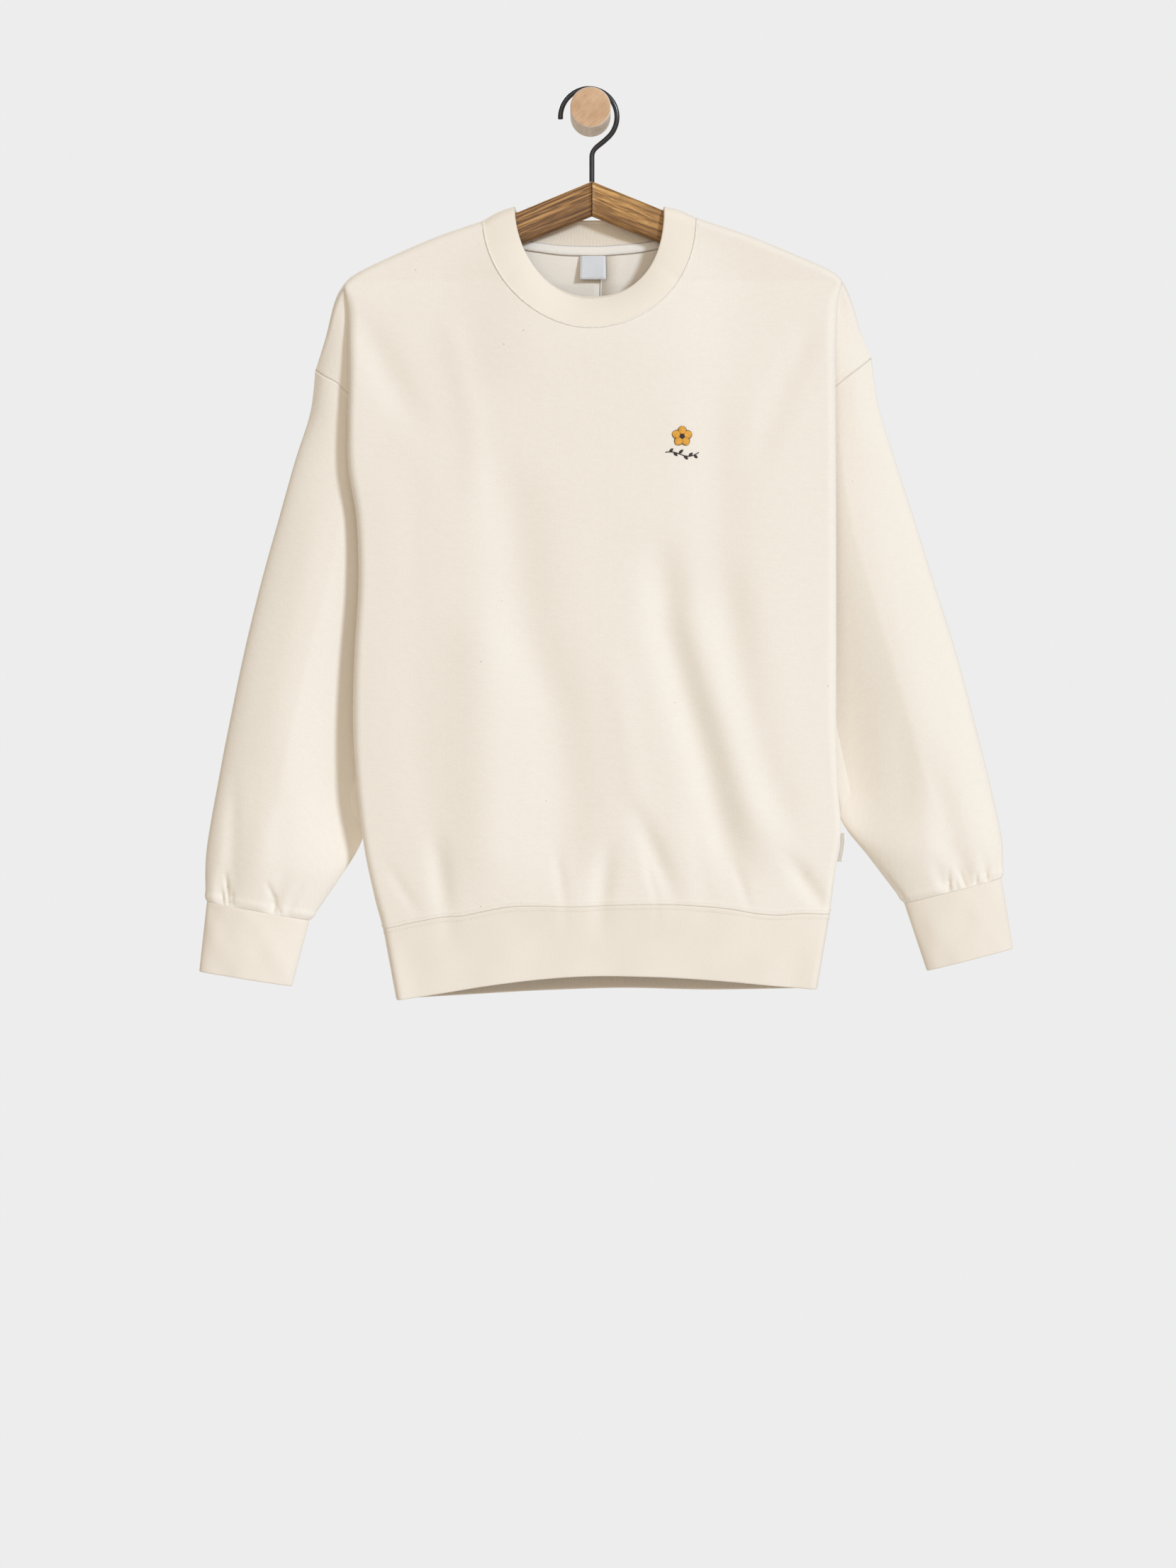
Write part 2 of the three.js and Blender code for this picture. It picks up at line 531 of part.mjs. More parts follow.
function panelPoint(panel, column, level) {
  const point = column.zone === 'field'
    ? fieldPoint(panel, column.step, level)
    : stripPoint(panel, column.zone, column.step, level);
  point.y += panel.sign * SEAM_GAP / 2;
  return point;
}

function panelGrid(panel, columns) {
  return PANEL_LEVELS.map((level) => columns.map((column) => panelPoint(panel, column, level)));
}

// The sleeve's ring at a share of its length, at a turn from the outer edge by the front
function ringPoint(row, turn, y, wedge = 0) {
  const angle = turn * 2 * Math.PI;
  const across = (1 + Math.cos(angle)) / 2;
  const round = Math.abs(Math.sin(angle)) ** 1.1;
  const thin = across < 0.5 ? smooth(2 * across) : round;
  const lift = Math.sign(Math.sin(angle)) * mix(round, thin, wedge);
  return new THREE.Vector3(mix(row.inX, row.outX, across), y - row.depth * lift, mix(row.inZ, row.outZ, across));
}

function sleeveRow(side, share) {
  const rows = SLEEVE[side];
  const place = share * (rows.length - 1);
  const row = {};
  for (const column of Object.keys(rows[0])) row[column] = along(rows, column, place);
  return row;
}

function sleevePress(side, share, turn) {
  const near = (item) => {
    const away = (turn - item.turn) / item.width;
    return item.depth * Math.exp(-away * away);
  };
  let press = 0;
  const gather = smooth(1 - (1 - share) / GATHER_REACH);
  for (const item of GATHERS[side]) press += near(item) * gather;
  for (const item of SLEEVE_FOLDS[side]) {
    press += near(item) * smooth((share - item.from) / 0.12) * smooth((item.to - share) / 0.12 + 0.4);
  }
  return press;
}

function sleevePoint(side, share, turn) {
  const outward = side === 'left' ? 1 : -1;
  const y = mix(SLEEVE_Y.armhole, SLEEVE_Y.cuff, smooth((share - 0.6) / 0.4));
  const row = sleeveRow(side, share);
  const point = ringPoint(row, turn, y, 1 - smooth((share - WEDGE_TO) / 0.2));
  const start = smooth(1 - share / ARMHOLE_BLEND);
  if (start > 0) {
    const onFront = turn <= 0.5;
    const level = (onFront ? turn : 1 - turn) * 2 * ARMPIT_ROW / LEVELS;
    const seam = seamPoint(onFront ? FRONT : BACK, side, level);
    const plain = ringPoint(sleeveRow(side, 0), turn, SLEEVE_Y.armhole, 1);
    point.add(seam.sub(plain).multiplyScalar(start));
    point.x += outward * ARMPIT_EASE * start * smooth(2 - 4 * Math.abs(turn - 0.5));
  }
  const angle = turn * 2 * Math.PI;
  const press = sleevePress(side, share, turn);
  point.y += press * Math.sin(angle);
  point.x -= outward * press * Math.cos(angle) * 0.5;
  return point;
}

const SLEEVE_TURNS = 30;
const SLEEVE_SHARES = [0, 0.03, 0.07, 0.12, 0.18, 0.25, 0.32, 0.4, 0.48, 0.56, 0.64, 0.72, 0.8, 0.86, 0.91, 0.95, 0.98, 1];

function sleeveGrid(side) {
  const grid = SLEEVE_SHARES.map((share) => {
    const ring = [];
    for (let i = 0; i < SLEEVE_TURNS; i += 1) ring.push(sleevePoint(side, share, i / SLEEVE_TURNS));
    return ring;
  });
  grid[0].forEach((point, i) => point.add(grid[1][i].clone().sub(point).setLength(SEAM_GAP * 2.2)));
  return grid;
}

function cuffGrid(side) {
  const steps = [0, 0.5, 1];
  return steps.map((step) => {
    const ring = [];
    const { top, end } = CUFF[side];
    const row = { depth: mix(CUFF_DEPTH.top, CUFF_DEPTH.end, step) + 1.2 * Math.sin(step * Math.PI) };
    for (const column of Object.keys(top)) row[column] = mix(top[column], end[column], step);
    for (let i = 0; i < SLEEVE_TURNS; i += 1) ring.push(ringPoint(row, i / SLEEVE_TURNS, SLEEVE_Y.cuff));
    return ring;
  });
}

// The hem rib: a ring from the panels' low edges down to its own folded edge
const HEM_FRONT = FRONT_COLUMNS;
const HEM_BACK = [...BACK_RIGHT_COLUMNS.slice(1), ...BACK_LEFT_COLUMNS.slice(1, -1)].reverse();

function hemPoint(panel, column, step) {
  const from = panelPoint(panel, column, 1);
  const share = clamp((from.x - SIDE.right[LEVELS].foldX) / (SIDE.left[LEVELS].foldX - SIDE.right[LEVELS].foldX), 0, 1);
  const low = panel === FRONT ? HEM_EDGE.front : HEM_EDGE.back;
  const x = mix(HEM_EDGE.right.x, HEM_EDGE.left.x, share);
  const towards = panel.sign * HEM_EDGE.inward * (1 - Math.abs(2 * share - 1) ** 3);
  const to = new THREE.Vector3(x + (from.x - mix(SIDE.right[LEVELS].foldX, SIDE.left[LEVELS].foldX, share)),
    from.y - towards, alongAt(low, 'z', share));
  from.z -= SEAM_GAP * 1.7;
  return from.lerp(to, step);
}

function hemGrid() {
  const steps = [0, 0.5, 1];
  return steps.map((step) => [
    ...HEM_FRONT.map((column) => hemPoint(FRONT, column, step)),
    ...HEM_BACK.map((column) => hemPoint(BACK, column, step)),
  ]);
}

// The collar: a ring from the neckline up to its folded edge
function collarEdge(angle) {
  const front = angle <= Math.PI;
  const side = Math.cos(angle) > 0 ? 'right' : 'left';
  const power = 2 / (front ? COLLAR.fullness[side] : 2.2);
  const across = Math.sign(Math.cos(angle)) * Math.abs(Math.cos(angle)) ** power;
  const down = Math.abs(Math.sin(angle)) ** power;
  const x = COLLAR.x - COLLAR.halfWidth * across;
  const z = mix(COLLAR.topZ, front ? COLLAR.frontZ : COLLAR.backZ, down);
  const crest = COLLAR.topZ + (COLLAR.halfWidth - Math.abs(x - COLLAR.x)) * RIDGE_SLOPE;
  const reach = Math.abs((front ? COLLAR.frontY : COLLAR.backY) - RIDGE_Y) - COLLAR.crestRound;
  const out = rollOut(crest - z, COLLAR.crestRound) + reach * Math.abs(Math.sin(angle)) ** 1.5;
  return new THREE.Vector3(x, RIDGE_Y + (front ? -out : out), z);
}

function collarGrid() {
  const steps = [0, 0.3, 0.65, 0.94, 1];
  const half = (angles) => [...angles, 90, ...angles.slice(1).map((angle) => 180 - angle).reverse()];
  const degrees = [...half(FRONT_NECK_ANGLES), ...half(BACK_NECK_ANGLES).slice(1).map((angle) => angle + 180)];
  degrees.splice(half(FRONT_NECK_ANGLES).length, 0, 180);
  return steps.map((step) => {
    const ring = [];
    for (const degree of degrees) {
      const angle = THREE.MathUtils.degToRad(degree);
      const front = angle <= Math.PI;
      const turn = front ? angle : 2 * Math.PI - angle;
      const share = mix(NECK_SHARE, NECK_END, turn / Math.PI);
      const seam = topEdge(front ? FRONT : BACK, share);
      const from = new THREE.Vector3(seam.x, seam.y, seam.z);
      const to = collarEdge(angle);
      const clear = SEAM_GAP * (3.4 + 1.8 * Math.cos(angle) ** 8);
      from.add(to.clone().sub(from).setLength(clear));
      const point = from.lerp(to, step);
      const lean = Math.abs(Math.sin(angle));
      const bulge = COLLAR.round * Math.sin(step * Math.PI);
      point.y += (front ? -1 : 1) * bulge * lean;
      point.z += bulge * (1 - lean);
      ring.push(point);
    }
    return ring;
  });
}

// Outward normals of a grid of points
function gridNormals(grid, closed, flip) {
  const rows = grid.length;
  const count = grid[0].length;
  const normalAt = (row, column) => {
    const before = closed ? (column + count - 1) % count : Math.max(column - 1, 0);
    const after = closed ? (column + 1) % count : Math.min(column + 1, count - 1);
    const across = grid[row][after].clone().sub(grid[row][before]);
    const down = grid[Math.min(row + 1, rows - 1)][column].clone().sub(grid[Math.max(row - 1, 0)][column]);
    return across.cross(down).normalize().multiplyScalar(flip);
  };
  return grid.map((line, row) => line.map((point, column) => normalAt(row, column)));
}

// A closed wall between a grid of outer points and the same points moved inward
function wall(grid, thickness, closed, flip) {
  const normals = gridNormals(grid, closed, flip);
  const inner = grid.map((line, row) => line.map((point, column) => point.clone().addScaledVector(normals[row][column], -thickness)));
  return sandwich(grid, inner, closed, flip);
}

function sandwich(outer, inner, closed, flip) {
  const rows = outer.length;
  const count = outer[0].length;
  const positions = [...outer.flat(), ...inner.flat()].flatMap((point) => [point.x, point.y, point.z]);
  const at = (layer, row, column) => layer * rows * count + row * count + (column % count);
  const pointAt = (index) => new THREE.Vector3().fromArray(positions, index * 3);
  const faces = [];
  const quad = (a, b, c, d) => {
    const turned = flip > 0 ? [a, b, c, d] : [a, d, c, b];
    const [p, q, r, s] = turned;
    if (pointAt(p).distanceTo(pointAt(r)) <= pointAt(q).distanceTo(pointAt(s))) faces.push(p, q, r, p, r, s);
    else faces.push(p, q, s, q, r, s);
  };
  const steps = closed ? count : count - 1;
  for (let row = 0; row < rows - 1; row += 1) {
    for (let column = 0; column < steps; column += 1) {
      quad(at(0, row, column), at(0, row, column + 1), at(0, row + 1, column + 1), at(0, row + 1, column));
      quad(at(1, row, column), at(1, row + 1, column), at(1, row + 1, column + 1), at(1, row, column + 1));
    }
  }
  for (let column = 0; column < steps; column += 1) {
    quad(at(0, 0, column), at(1, 0, column), at(1, 0, column + 1), at(0, 0, column + 1));
    quad(at(0, rows - 1, column), at(0, rows - 1, column + 1), at(1, rows - 1, column + 1), at(1, rows - 1, column));
  }
  if (!closed) {
    for (let row = 0; row < rows - 1; row += 1) {
      quad(at(0, row, 0), at(0, row + 1, 0), at(1, row + 1, 0), at(1, row, 0));
      quad(at(0, row, count - 1), at(1, row, count - 1), at(1, row + 1, count - 1), at(0, row + 1, count - 1));
    }
  }
  const geometry = new THREE.BufferGeometry();
  geometry.setAttribute('position', new THREE.Float32BufferAttribute(positions, 3));
  geometry.setIndex(faces);
  return geometry;
}

// Front and back meet at the shoulder and side seams: no inner point crosses its seam's plane
function heldToSeams(geometry, sign, columns) {
  const position = geometry.getAttribute('position');
  const count = columns.length;
  const layer = PANEL_LEVELS.length * count;
  const hold = (index, limit) => {
    if ((position.getY(index) - limit) * sign < 0) position.setY(index, limit);
  };
  PANEL_LEVELS.forEach((level, row) => {
    columns.forEach((column, place) => {
      const index = row * count + place;
      const ridge = RIDGE_Y + sign * SEAM_GAP / 2;
      if (level < SHOULDER_LEVEL) hold(index, ridge);
      if (level < SHOULDER_LEVEL) hold(layer + index, ridge);
      if (column.zone !== 'field' && column.step === 1) hold(layer + index, position.getY(index));
    });
  });
  return geometry;
}

function panelGeometry(panel, columns) {
  const grid = panelGrid(panel, columns);
  const flip = panel.sign === FRONT_SIGN ? 1 : -1;
  return heldToSeams(wall(grid, CLOTH, false, -flip), panel.sign, columns);
}

// Neck tape, label and side label
function onBackNeck(x, drop) {
  let low = NECK_SHARE;
  let high = NECK_END;
  for (let i = 0; i < 40; i += 1) {
    const share = (low + high) / 2;
    if (topEdge(BACK, share).x < x) low = share;
    else high = share;
  }
  const share = (low + high) / 2;
  const top = fieldPoint(BACK, share, 0);
  const under = fieldPoint(BACK, share, RIDGE_SPAN);
  return top.lerp(under, drop / top.distanceTo(under));
}

function tapeGeometry() {
  const inside = CLOTH + NECK_TAPE.lift;
  const rows = [0.5, 0.5 + NECK_TAPE.width].map((drop) => {
    const line = [];
    for (let i = 0; i <= 24; i += 1) {
      const point = onBackNeck(mix(-NECK_TAPE.reach, NECK_TAPE.reach, i / 24), drop);
      point.y -= inside;
      line.push(point);
    }
    return line;
  });
  return wall(rows, NECK_TAPE.thickness, false, 1);
}

// A small flat label, thin along its own Y
function labelGeometry() {
  const { width, height, thickness } = NECK_LABEL;
  return new THREE.BoxGeometry(width, thickness, height).translate(0, 0, -height / 2);
}

// The side label stands out of the side seam and follows it down
function sideLabelGeometry() {
  const rows = [];
  for (let i = 0; i <= 3; i += 1) {
    const z = mix(SIDE_LABEL.topZ, SIDE_LABEL.lowZ, i / 3);
    const seam = seamAt(z);
    rows.push([0.9, SIDE_LABEL.width].map((out) => new THREE.Vector3(seam.x + out * 0.6, seam.y - out * 0.8, z)));
  }
  return wall(rows, SIDE_LABEL.thickness, false, -1);
}

// The place on the wearer's left side seam at a height
function seamAt(z) {
  let low = 0;
  let high = 1;
  for (let i = 0; i < 30; i += 1) {
    const level = (low + high) / 2;
    if (seamPoint(FRONT, 'left', level).z > z) low = level;
    else high = level;
  }
  return seamPoint(FRONT, 'left', low);
}

// Motif on the chest: a flower with rounded petals and a dark sprig beside it
function onFront(x, z, lift) {
  let share = 0.5 + (x - 0) / 410;
  let level = (z + 165) / -520;
  for (let i = 0; i < 30; i += 1) {
    const point = fieldPoint(FRONT, share, level);
    share += (x - point.x) / 500;
    level -= (z - point.z) / 700;
  }
  const step = 0.002;
  const here = fieldPoint(FRONT, share, level);
  const across = fieldPoint(FRONT, share + step, level).sub(here);
  const down = fieldPoint(FRONT, share, level + step).sub(here);
  const normal = down.cross(across).normalize();
  return here.addScaledVector(normal, lift + SEAM_GAP / 4);
}

function raisedShape(outline, thickness) {
  const faces = THREE.ShapeUtils.triangulateShape(outline, []);
  const count = outline.length;
  const layers = [MOTIF.lift, MOTIF.lift + thickness].map((lift) => outline.map((p) => onFront(MOTIF.x + p.x, MOTIF.z + p.y, lift)));
  const index = [];
  for (const [a, b, c] of faces) {
    index.push(a, c, b);
    index.push(count + a, count + b, count + c);
  }
  for (let i = 0; i < count; i += 1) {
    const next = (i + 1) % count;
    index.push(i, next, count + next, i, count + next, count + i);
  }
  const geometry = new THREE.BufferGeometry();
  geometry.setAttribute('position', new THREE.Float32BufferAttribute(layers.flat().flatMap((p) => [p.x, p.y, p.z]), 3));
  geometry.setIndex(index);
  return geometry;
}

function flowerGeometry() {
  const outline = [];
  const count = 50;
  for (let i = 0; i < count; i += 1) {
    const angle = i / count * 2 * Math.PI;
    const radius = MOTIF.radius * (0.55 + 0.45 * Math.abs(Math.cos(MOTIF.petals * angle / 2)) ** 0.7);
    outline.push(new THREE.Vector2(radius * Math.cos(angle + 0.3), radius * Math.sin(angle + 0.3)));
  }
  return raisedShape(outline, MOTIF.thickness);
}

function sprigGeometry() {
  const steps = 18;
  const upper = [];
  const lower = [];
  for (let i = 0; i <= steps; i += 1) {
    const t = i / steps;
    const x = mix(-14, 14, t);
    const z = -13.5 - 2.2 * Math.sin(t * Math.PI) + 1.6 * Math.sin(t * 2 * Math.PI);
    const half = 0.7 + 1.5 * Math.max(0, Math.sin(t * 3 * Math.PI)) * Math.sin(t * Math.PI);
    upper.push(new THREE.Vector2(x, z + half));
    lower.push(new THREE.Vector2(x, z - half));
  }
  return raisedShape([...lower, ...upper.reverse()], MOTIF.thickness);
}

// Hanger, hook and peg
function solidOf(geometry) {
  const bare = geometry.clone();
  bare.deleteAttribute('normal');
  bare.deleteAttribute('uv');
  const merged = BufferGeometryUtils.mergeVertices(bare, 1e-4);
  return new wasm.Manifold(new wasm.Mesh({
    numProp: 3,
    vertProperties: new Float32Array(merged.getAttribute('position').array),
    triVerts: new Uint32Array(merged.getIndex().array),
  }));
}

function geometryOf(solid) {
  const mesh = solid.getMesh();
  const geometry = new THREE.BufferGeometry();
  geometry.setAttribute('position', new THREE.BufferAttribute(new Float32Array(mesh.vertProperties), 3));
  geometry.setIndex(new THREE.BufferAttribute(new Uint32Array(mesh.triVerts), 1));
  return geometry;
}

// The arm's top edge lies just under the cloth, and straight from there to the apex
function armTop(side, out) {
  const row = SHOULDER[side];
  const under = CLOTH + mix(3.3, 2.1, smooth(out / 0.3));
  if (out <= 0) return { x: STEM_X, z: APEX_Z };
  const place = mix(0, 3, out);
  return { x: along(row, 'x', place), z: along(row, 'z', place) - under - 1.2 * out * out };
}

function armGeometry(side) {
  const outward = side === 'left' ? 1 : -1;
  const top = [armTop(side, 0), ...[0.001, 0.3, 0.6, 0.85, 1].map((out) => armTop(side, out))];
  const shape = new THREE.Shape();
  const mitre = STEM_X + outward * SEAM_GAP / 2;
  shape.moveTo(mitre, APEX_Z);
  for (const point of top.slice(1)) shape.lineTo(point.x, point.z);
  const tip = top[top.length - 1];
  const low = top.map((point) => ({ x: point.x, z: point.z - ARM_HEIGHT }));
  const round = 5;
  for (let i = 1; i <= round; i += 1) {
    const angle = i / (round + 1) * Math.PI;
    const reach = 8 * Math.sin(angle);
    shape.lineTo(tip.x + outward * reach, tip.z - ARM_HEIGHT * (1 - Math.cos(angle)) / 2);
  }
  for (const point of low.slice(1).reverse()) shape.lineTo(point.x, point.z);
  shape.lineTo(mitre, APEX_Z - ARM_HEIGHT - 1.5);
  const bevel = 2;
  const geometry = new THREE.ExtrudeGeometry(shape, {
    depth: ARM_THICKNESS - 2 * bevel, bevelEnabled: true, bevelSize: bevel, bevelOffset: -bevel, bevelThickness: bevel, bevelSegments: 2,
  });
  geometry.rotateX(Math.PI / 2);
  geometry.translate(0, RIDGE_Y + ARM_THICKNESS / 2 - bevel, 0);
  const drill = new THREE.CylinderGeometry(WIRE_RADIUS + 0.35, WIRE_RADIUS + 0.35, 2 * STEM_HOLE, 16);
  drill.rotateX(Math.PI / 2);
  drill.translate(STEM_X, RIDGE_Y, APEX_Z);
  return geometryOf(solidOf(geometry).subtract(solidOf(drill)));
}

function hookGeometry() {
  const centreZ = PEG_RADIUS + 0.6 + WIRE_RADIUS - HOOK_RADIUS;
  const points = [];
  for (let degrees = 184; degrees >= -46; degrees -= 11.5) {
    const angle = THREE.MathUtils.degToRad(degrees);
    points.push(new THREE.Vector3(HOOK_X + HOOK_RADIUS * Math.cos(angle), RIDGE_Y, centreZ + HOOK_RADIUS * Math.sin(angle)));
  }
  const stemTop = centreZ - HOOK_RADIUS - 8;
  points.push(new THREE.Vector3(STEM_X + 3.6, RIDGE_Y, stemTop + 5.4));
  points.push(new THREE.Vector3(STEM_X + 0.4, RIDGE_Y, stemTop));
  points.push(new THREE.Vector3(STEM_X, RIDGE_Y, stemTop - 6));
  points.push(new THREE.Vector3(STEM_X, RIDGE_Y, APEX_Z + 4));
  points.push(new THREE.Vector3(STEM_X, RIDGE_Y, APEX_Z - STEM_HOLE + 0.4));
  const section = new THREE.Shape().absarc(0, 0, WIRE_RADIUS, 0, 2 * Math.PI);
  const path = new THREE.CatmullRomCurve3(points, false, 'centripetal');
  return new THREE.ExtrudeGeometry(section, { steps: 44, curveSegments: 4, extrudePath: path, bevelEnabled: false });
}

function pegGeometry() {
  const edge = 1.5;
  const profile = [[0, 0], [PEG_RADIUS, 0], [PEG_RADIUS, PEG_LENGTH - edge], [PEG_RADIUS - edge / 3, PEG_LENGTH - edge / 3],
    [PEG_RADIUS - edge, PEG_LENGTH], [0, PEG_LENGTH]].map(([radius, out]) => new THREE.Vector2(radius, out));
  const geometry = new THREE.LatheGeometry(profile, 28);
  geometry.rotateX(Math.PI);
  return geometry;
}

// The whole part
const part = new THREE.Group();

function add(name, geometry, finish, place = [0, 0, 0], turn = [0, 0, 0]) {
  const mesh = new THREE.Mesh(geometry, new THREE.MeshStandardMaterial(finish));
  mesh.name = name;
  mesh.position.set(...place);
  mesh.rotation.set(...turn);
  part.add(mesh);
}

add('front', panelGeometry(FRONT, FRONT_COLUMNS), CREAM);
add('back_right', panelGeometry(BACK, BACK_RIGHT_COLUMNS), CREAM, [-SEAM_GAP / 2, 0, 0]);
add('back_left', panelGeometry(BACK, BACK_LEFT_COLUMNS), CREAM, [SEAM_GAP / 2, 0, 0]);
for (const side of ['left', 'right']) {
  const flip = side === 'left' ? 1 : -1;
  add(`sleeve_${side}`, wall(sleeveGrid(side), CLOTH, true, flip), CREAM);
  add(`cuff_${side}`, wall(cuffGrid(side), RIB, true, flip), RIB_CREAM);
  add(`hanger_arm_${side}`, armGeometry(side), OAK);
}
add('hem_rib', wall(hemGrid(), RIB, true, -1), RIB_CREAM);
add('collar_rib', wall(collarGrid(), RIB, true, 1), RIB_CREAM);
add('neck_tape', tapeGeometry(), TAPE_WHITE);
add('neck_label', labelGeometry(), LABEL_GREY, [NECK_LABEL.x, NECK_LABEL.y, NECK_LABEL.topZ],
  [Math.atan2(NECK_LABEL.lean, NECK_LABEL.height), 0, 0]);
add('side_label', sideLabelGeometry(), TAPE_WHITE);
add('motif_flower', flowerGeometry(), AMBER);
add('motif_sprig', sprigGeometry(), DARK_THREAD);
add('hook', hookGeometry(), BLACK_METAL);
add('peg', pegGeometry(), BEECH);

export default part;
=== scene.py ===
"""A cream crewneck sweatshirt on a wooden hanger and wall peg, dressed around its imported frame.

Sizes are in millimetres here and become metres where a mesh is made. +Z is up, the front
faces -Y and the wearer's left is +X.
"""
import math

import bpy
import numpy as np
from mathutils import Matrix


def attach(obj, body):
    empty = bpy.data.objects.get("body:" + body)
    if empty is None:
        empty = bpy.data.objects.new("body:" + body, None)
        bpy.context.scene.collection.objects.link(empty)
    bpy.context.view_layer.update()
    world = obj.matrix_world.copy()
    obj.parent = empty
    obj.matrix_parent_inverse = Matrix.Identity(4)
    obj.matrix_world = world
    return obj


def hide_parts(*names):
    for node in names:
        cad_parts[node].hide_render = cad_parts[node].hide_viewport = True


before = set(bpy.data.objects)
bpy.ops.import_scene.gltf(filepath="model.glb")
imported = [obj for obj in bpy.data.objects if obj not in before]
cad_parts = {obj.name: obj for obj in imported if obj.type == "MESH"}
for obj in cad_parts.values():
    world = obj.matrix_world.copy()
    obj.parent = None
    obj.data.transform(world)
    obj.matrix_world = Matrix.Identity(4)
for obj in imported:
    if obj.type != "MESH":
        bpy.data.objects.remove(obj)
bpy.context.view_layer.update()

# Driving sizes
CLOTH = 2.0
RIB = 2.6
RIDGE_Y = -27.0
RIDGE_ROUND = 9.8
RIDGE_SLOPE = 0.38
RIDGE_SPAN = 0.032
TIP_ROW = 4
ARMPIT_ROW = 6
LEVELS = 13
NECK_X = -0.6
NECK_SHARE = 0.27
CENTRE_SEAM = 0.515
SLEEVE_Y = {"armhole": -30.0, "cuff": -26.0}


def table(names, rows):
    columns = zip(*rows)
    return {name: np.array(column, float) for name, column in zip(names.split(), columns)}


SHOULDER = {
    "left": table("x z", [(90.0, -90.5), (132.0, -104.4), (172.0, -120.8), (201.0, -133.6),
                          (213.5, -143.5), (222.5, -163.0), (229.5, -187.0), (238.5, -210.0)]),
    "right": table("x z", [(-91.0, -92.5), (-131.0, -106.4), (-168.0, -122.4), (-197.0, -136.4),
                           (-209.5, -147.0), (-217.5, -162.0), (-225.0, -192.0), (-233.7, -220.2)]),
}
SIDE_NAMES = "foldX foldZ front back seamX seamY seamZ tuck lead round"
SIDE = {
    "left": table(SIDE_NAMES, [
        (213.5, -143.5, -36.8, -17.2, 238.5, -27, -210, 0, 8, 0.5),
        (209.6, -166, -42, -14, 228, -33, -218.5, 5, 10, 8),
        (207.8, -197, -48, -11, 216, -36, -227.5, 12, 6, 9),
        (207.3, -230, -52, -9, 199, -36, -242, 12, -4, 8),
        (207.3, -265, -56, -8, 177, -34, -267, 6, -14, 8),
        (207.3, -302, -59, -7, 157, -32, -300, 2, -18, 8),
        (207.3, -345, -61, -6, 145, -30, -340, 0, -20, 8),
        (207.3, -400, -62, -5, 150, -30, -397, 0, -20, 8),
        (207.3, -460, -62, -4.5, 162, -30, -460, 0, -16, 8),
        (207.3, -520, -61, -4.5, 178, -30, -520, 0, -12, 8),
        (208.3, -568, -58, -5, 194, -30, -570, 0, -6, 5.5),
        (211.3, -611, -54, -6, 211, -30, -611, 0, 0, 5.5),
        (206.6, -646, -50, -7, 207.4, -30, -646, 0, 0, 6),
        (202.2, -681.5, -46, -8, 203, -30, -681.5, 0, 0, 6),
    ]),
    "right": table(SIDE_NAMES, [
        (-209.5, -147, -36.8, -17.2, -233.7, -27, -220.2, 0, 8, 0.5),
        (-206.4, -170, -42, -14, -226, -33, -225.6, 5, 10, 8),
        (-205.4, -202, -48, -11, -215, -36, -231.5, 12, 6, 9),
        (-204.9, -236, -52, -9, -200, -36, -245, 12, -4, 8),
        (-205.1, -270, -56, -8, -178, -34, -270, 6, -14, 7),
        (-204.2, -306, -59, -7, -156, -32, -306, 2, -18, 7),
        (-197.4, -348, -61, -6, -138, -30, -350, 0, -20, 7),
        (-195.6, -402, -62, -5, -141, -30, -404, 0, -20, 7),
        (-198.8, -460, -62, -4.5, -150, -30, -460, 0, -16, 7),
        (-200.2, -518, -61, -4.5, -161, -30, -518, 0, -12, 7),
        (-197.4, -568, -58, -5, -172, -30, -568, 0, -9, 5.5),
        (-191.7, -621, -54, -6, -184, -30, -619, 0, -2, 5.5),
        (-184.4, -659, -50, -7, -184.6, -30, -659, 0, 0, 6),
        (-175.0, -694, -46, -8, -175.8, -30, -694, 0, 0, 6),
    ]),
}
CROWN = np.array([0, 1, 2, 3, 5, 6, 7, 8, 9, 9, 9, 9, 9, 9], float)
NECK_FULLNESS = {"left": 2.1, "right": 1.85}
NECK_LEAN = {"half_width": 95.0, "from": -300.0, "to": -190.0, "start": 60.0}
HEM_SEAM = table("at z", [(0, -694), (0.08, -687.4), (0.14, -683.6), (0.172, -683), (0.212, -680),
                          (0.281, -675.2), (0.354, -674.4), (0.427, -675.2), (0.507, -673.8),
                          (0.696, -674.2), (0.79, -677.9), (0.837, -681), (0.888, -682.2),
                          (0.933, -681), (1, -681.5)])
HEM_EDGE = {"left": 191.6, "right": -164.0, "inward": 6.0,
            "front": table("at z", [(0, -753.2), (0.1, -747.6), (0.24, -739.6), (0.42, -733.2),
                                    (0.62, -733.4), (0.78, -737), (0.9, -741), (1, -744)]),
            "back": table("at z", [(0, -753.2), (0.15, -750), (0.35, -746), (0.52, -744),
                                   (0.75, -745.4), (1, -744)])}
COLLAR = {"x": -1.0, "half": 64.5, "top": -80.6, "front_z": -159.4, "back_z": -92.2, "front_y": -42.5,
          "back_y": -15.5, "left": 2.35, "right": 1.97, "bulge": 1.4, "crest": 10.6}
SLEEVE_NAMES = "outX outZ inX inZ depth"
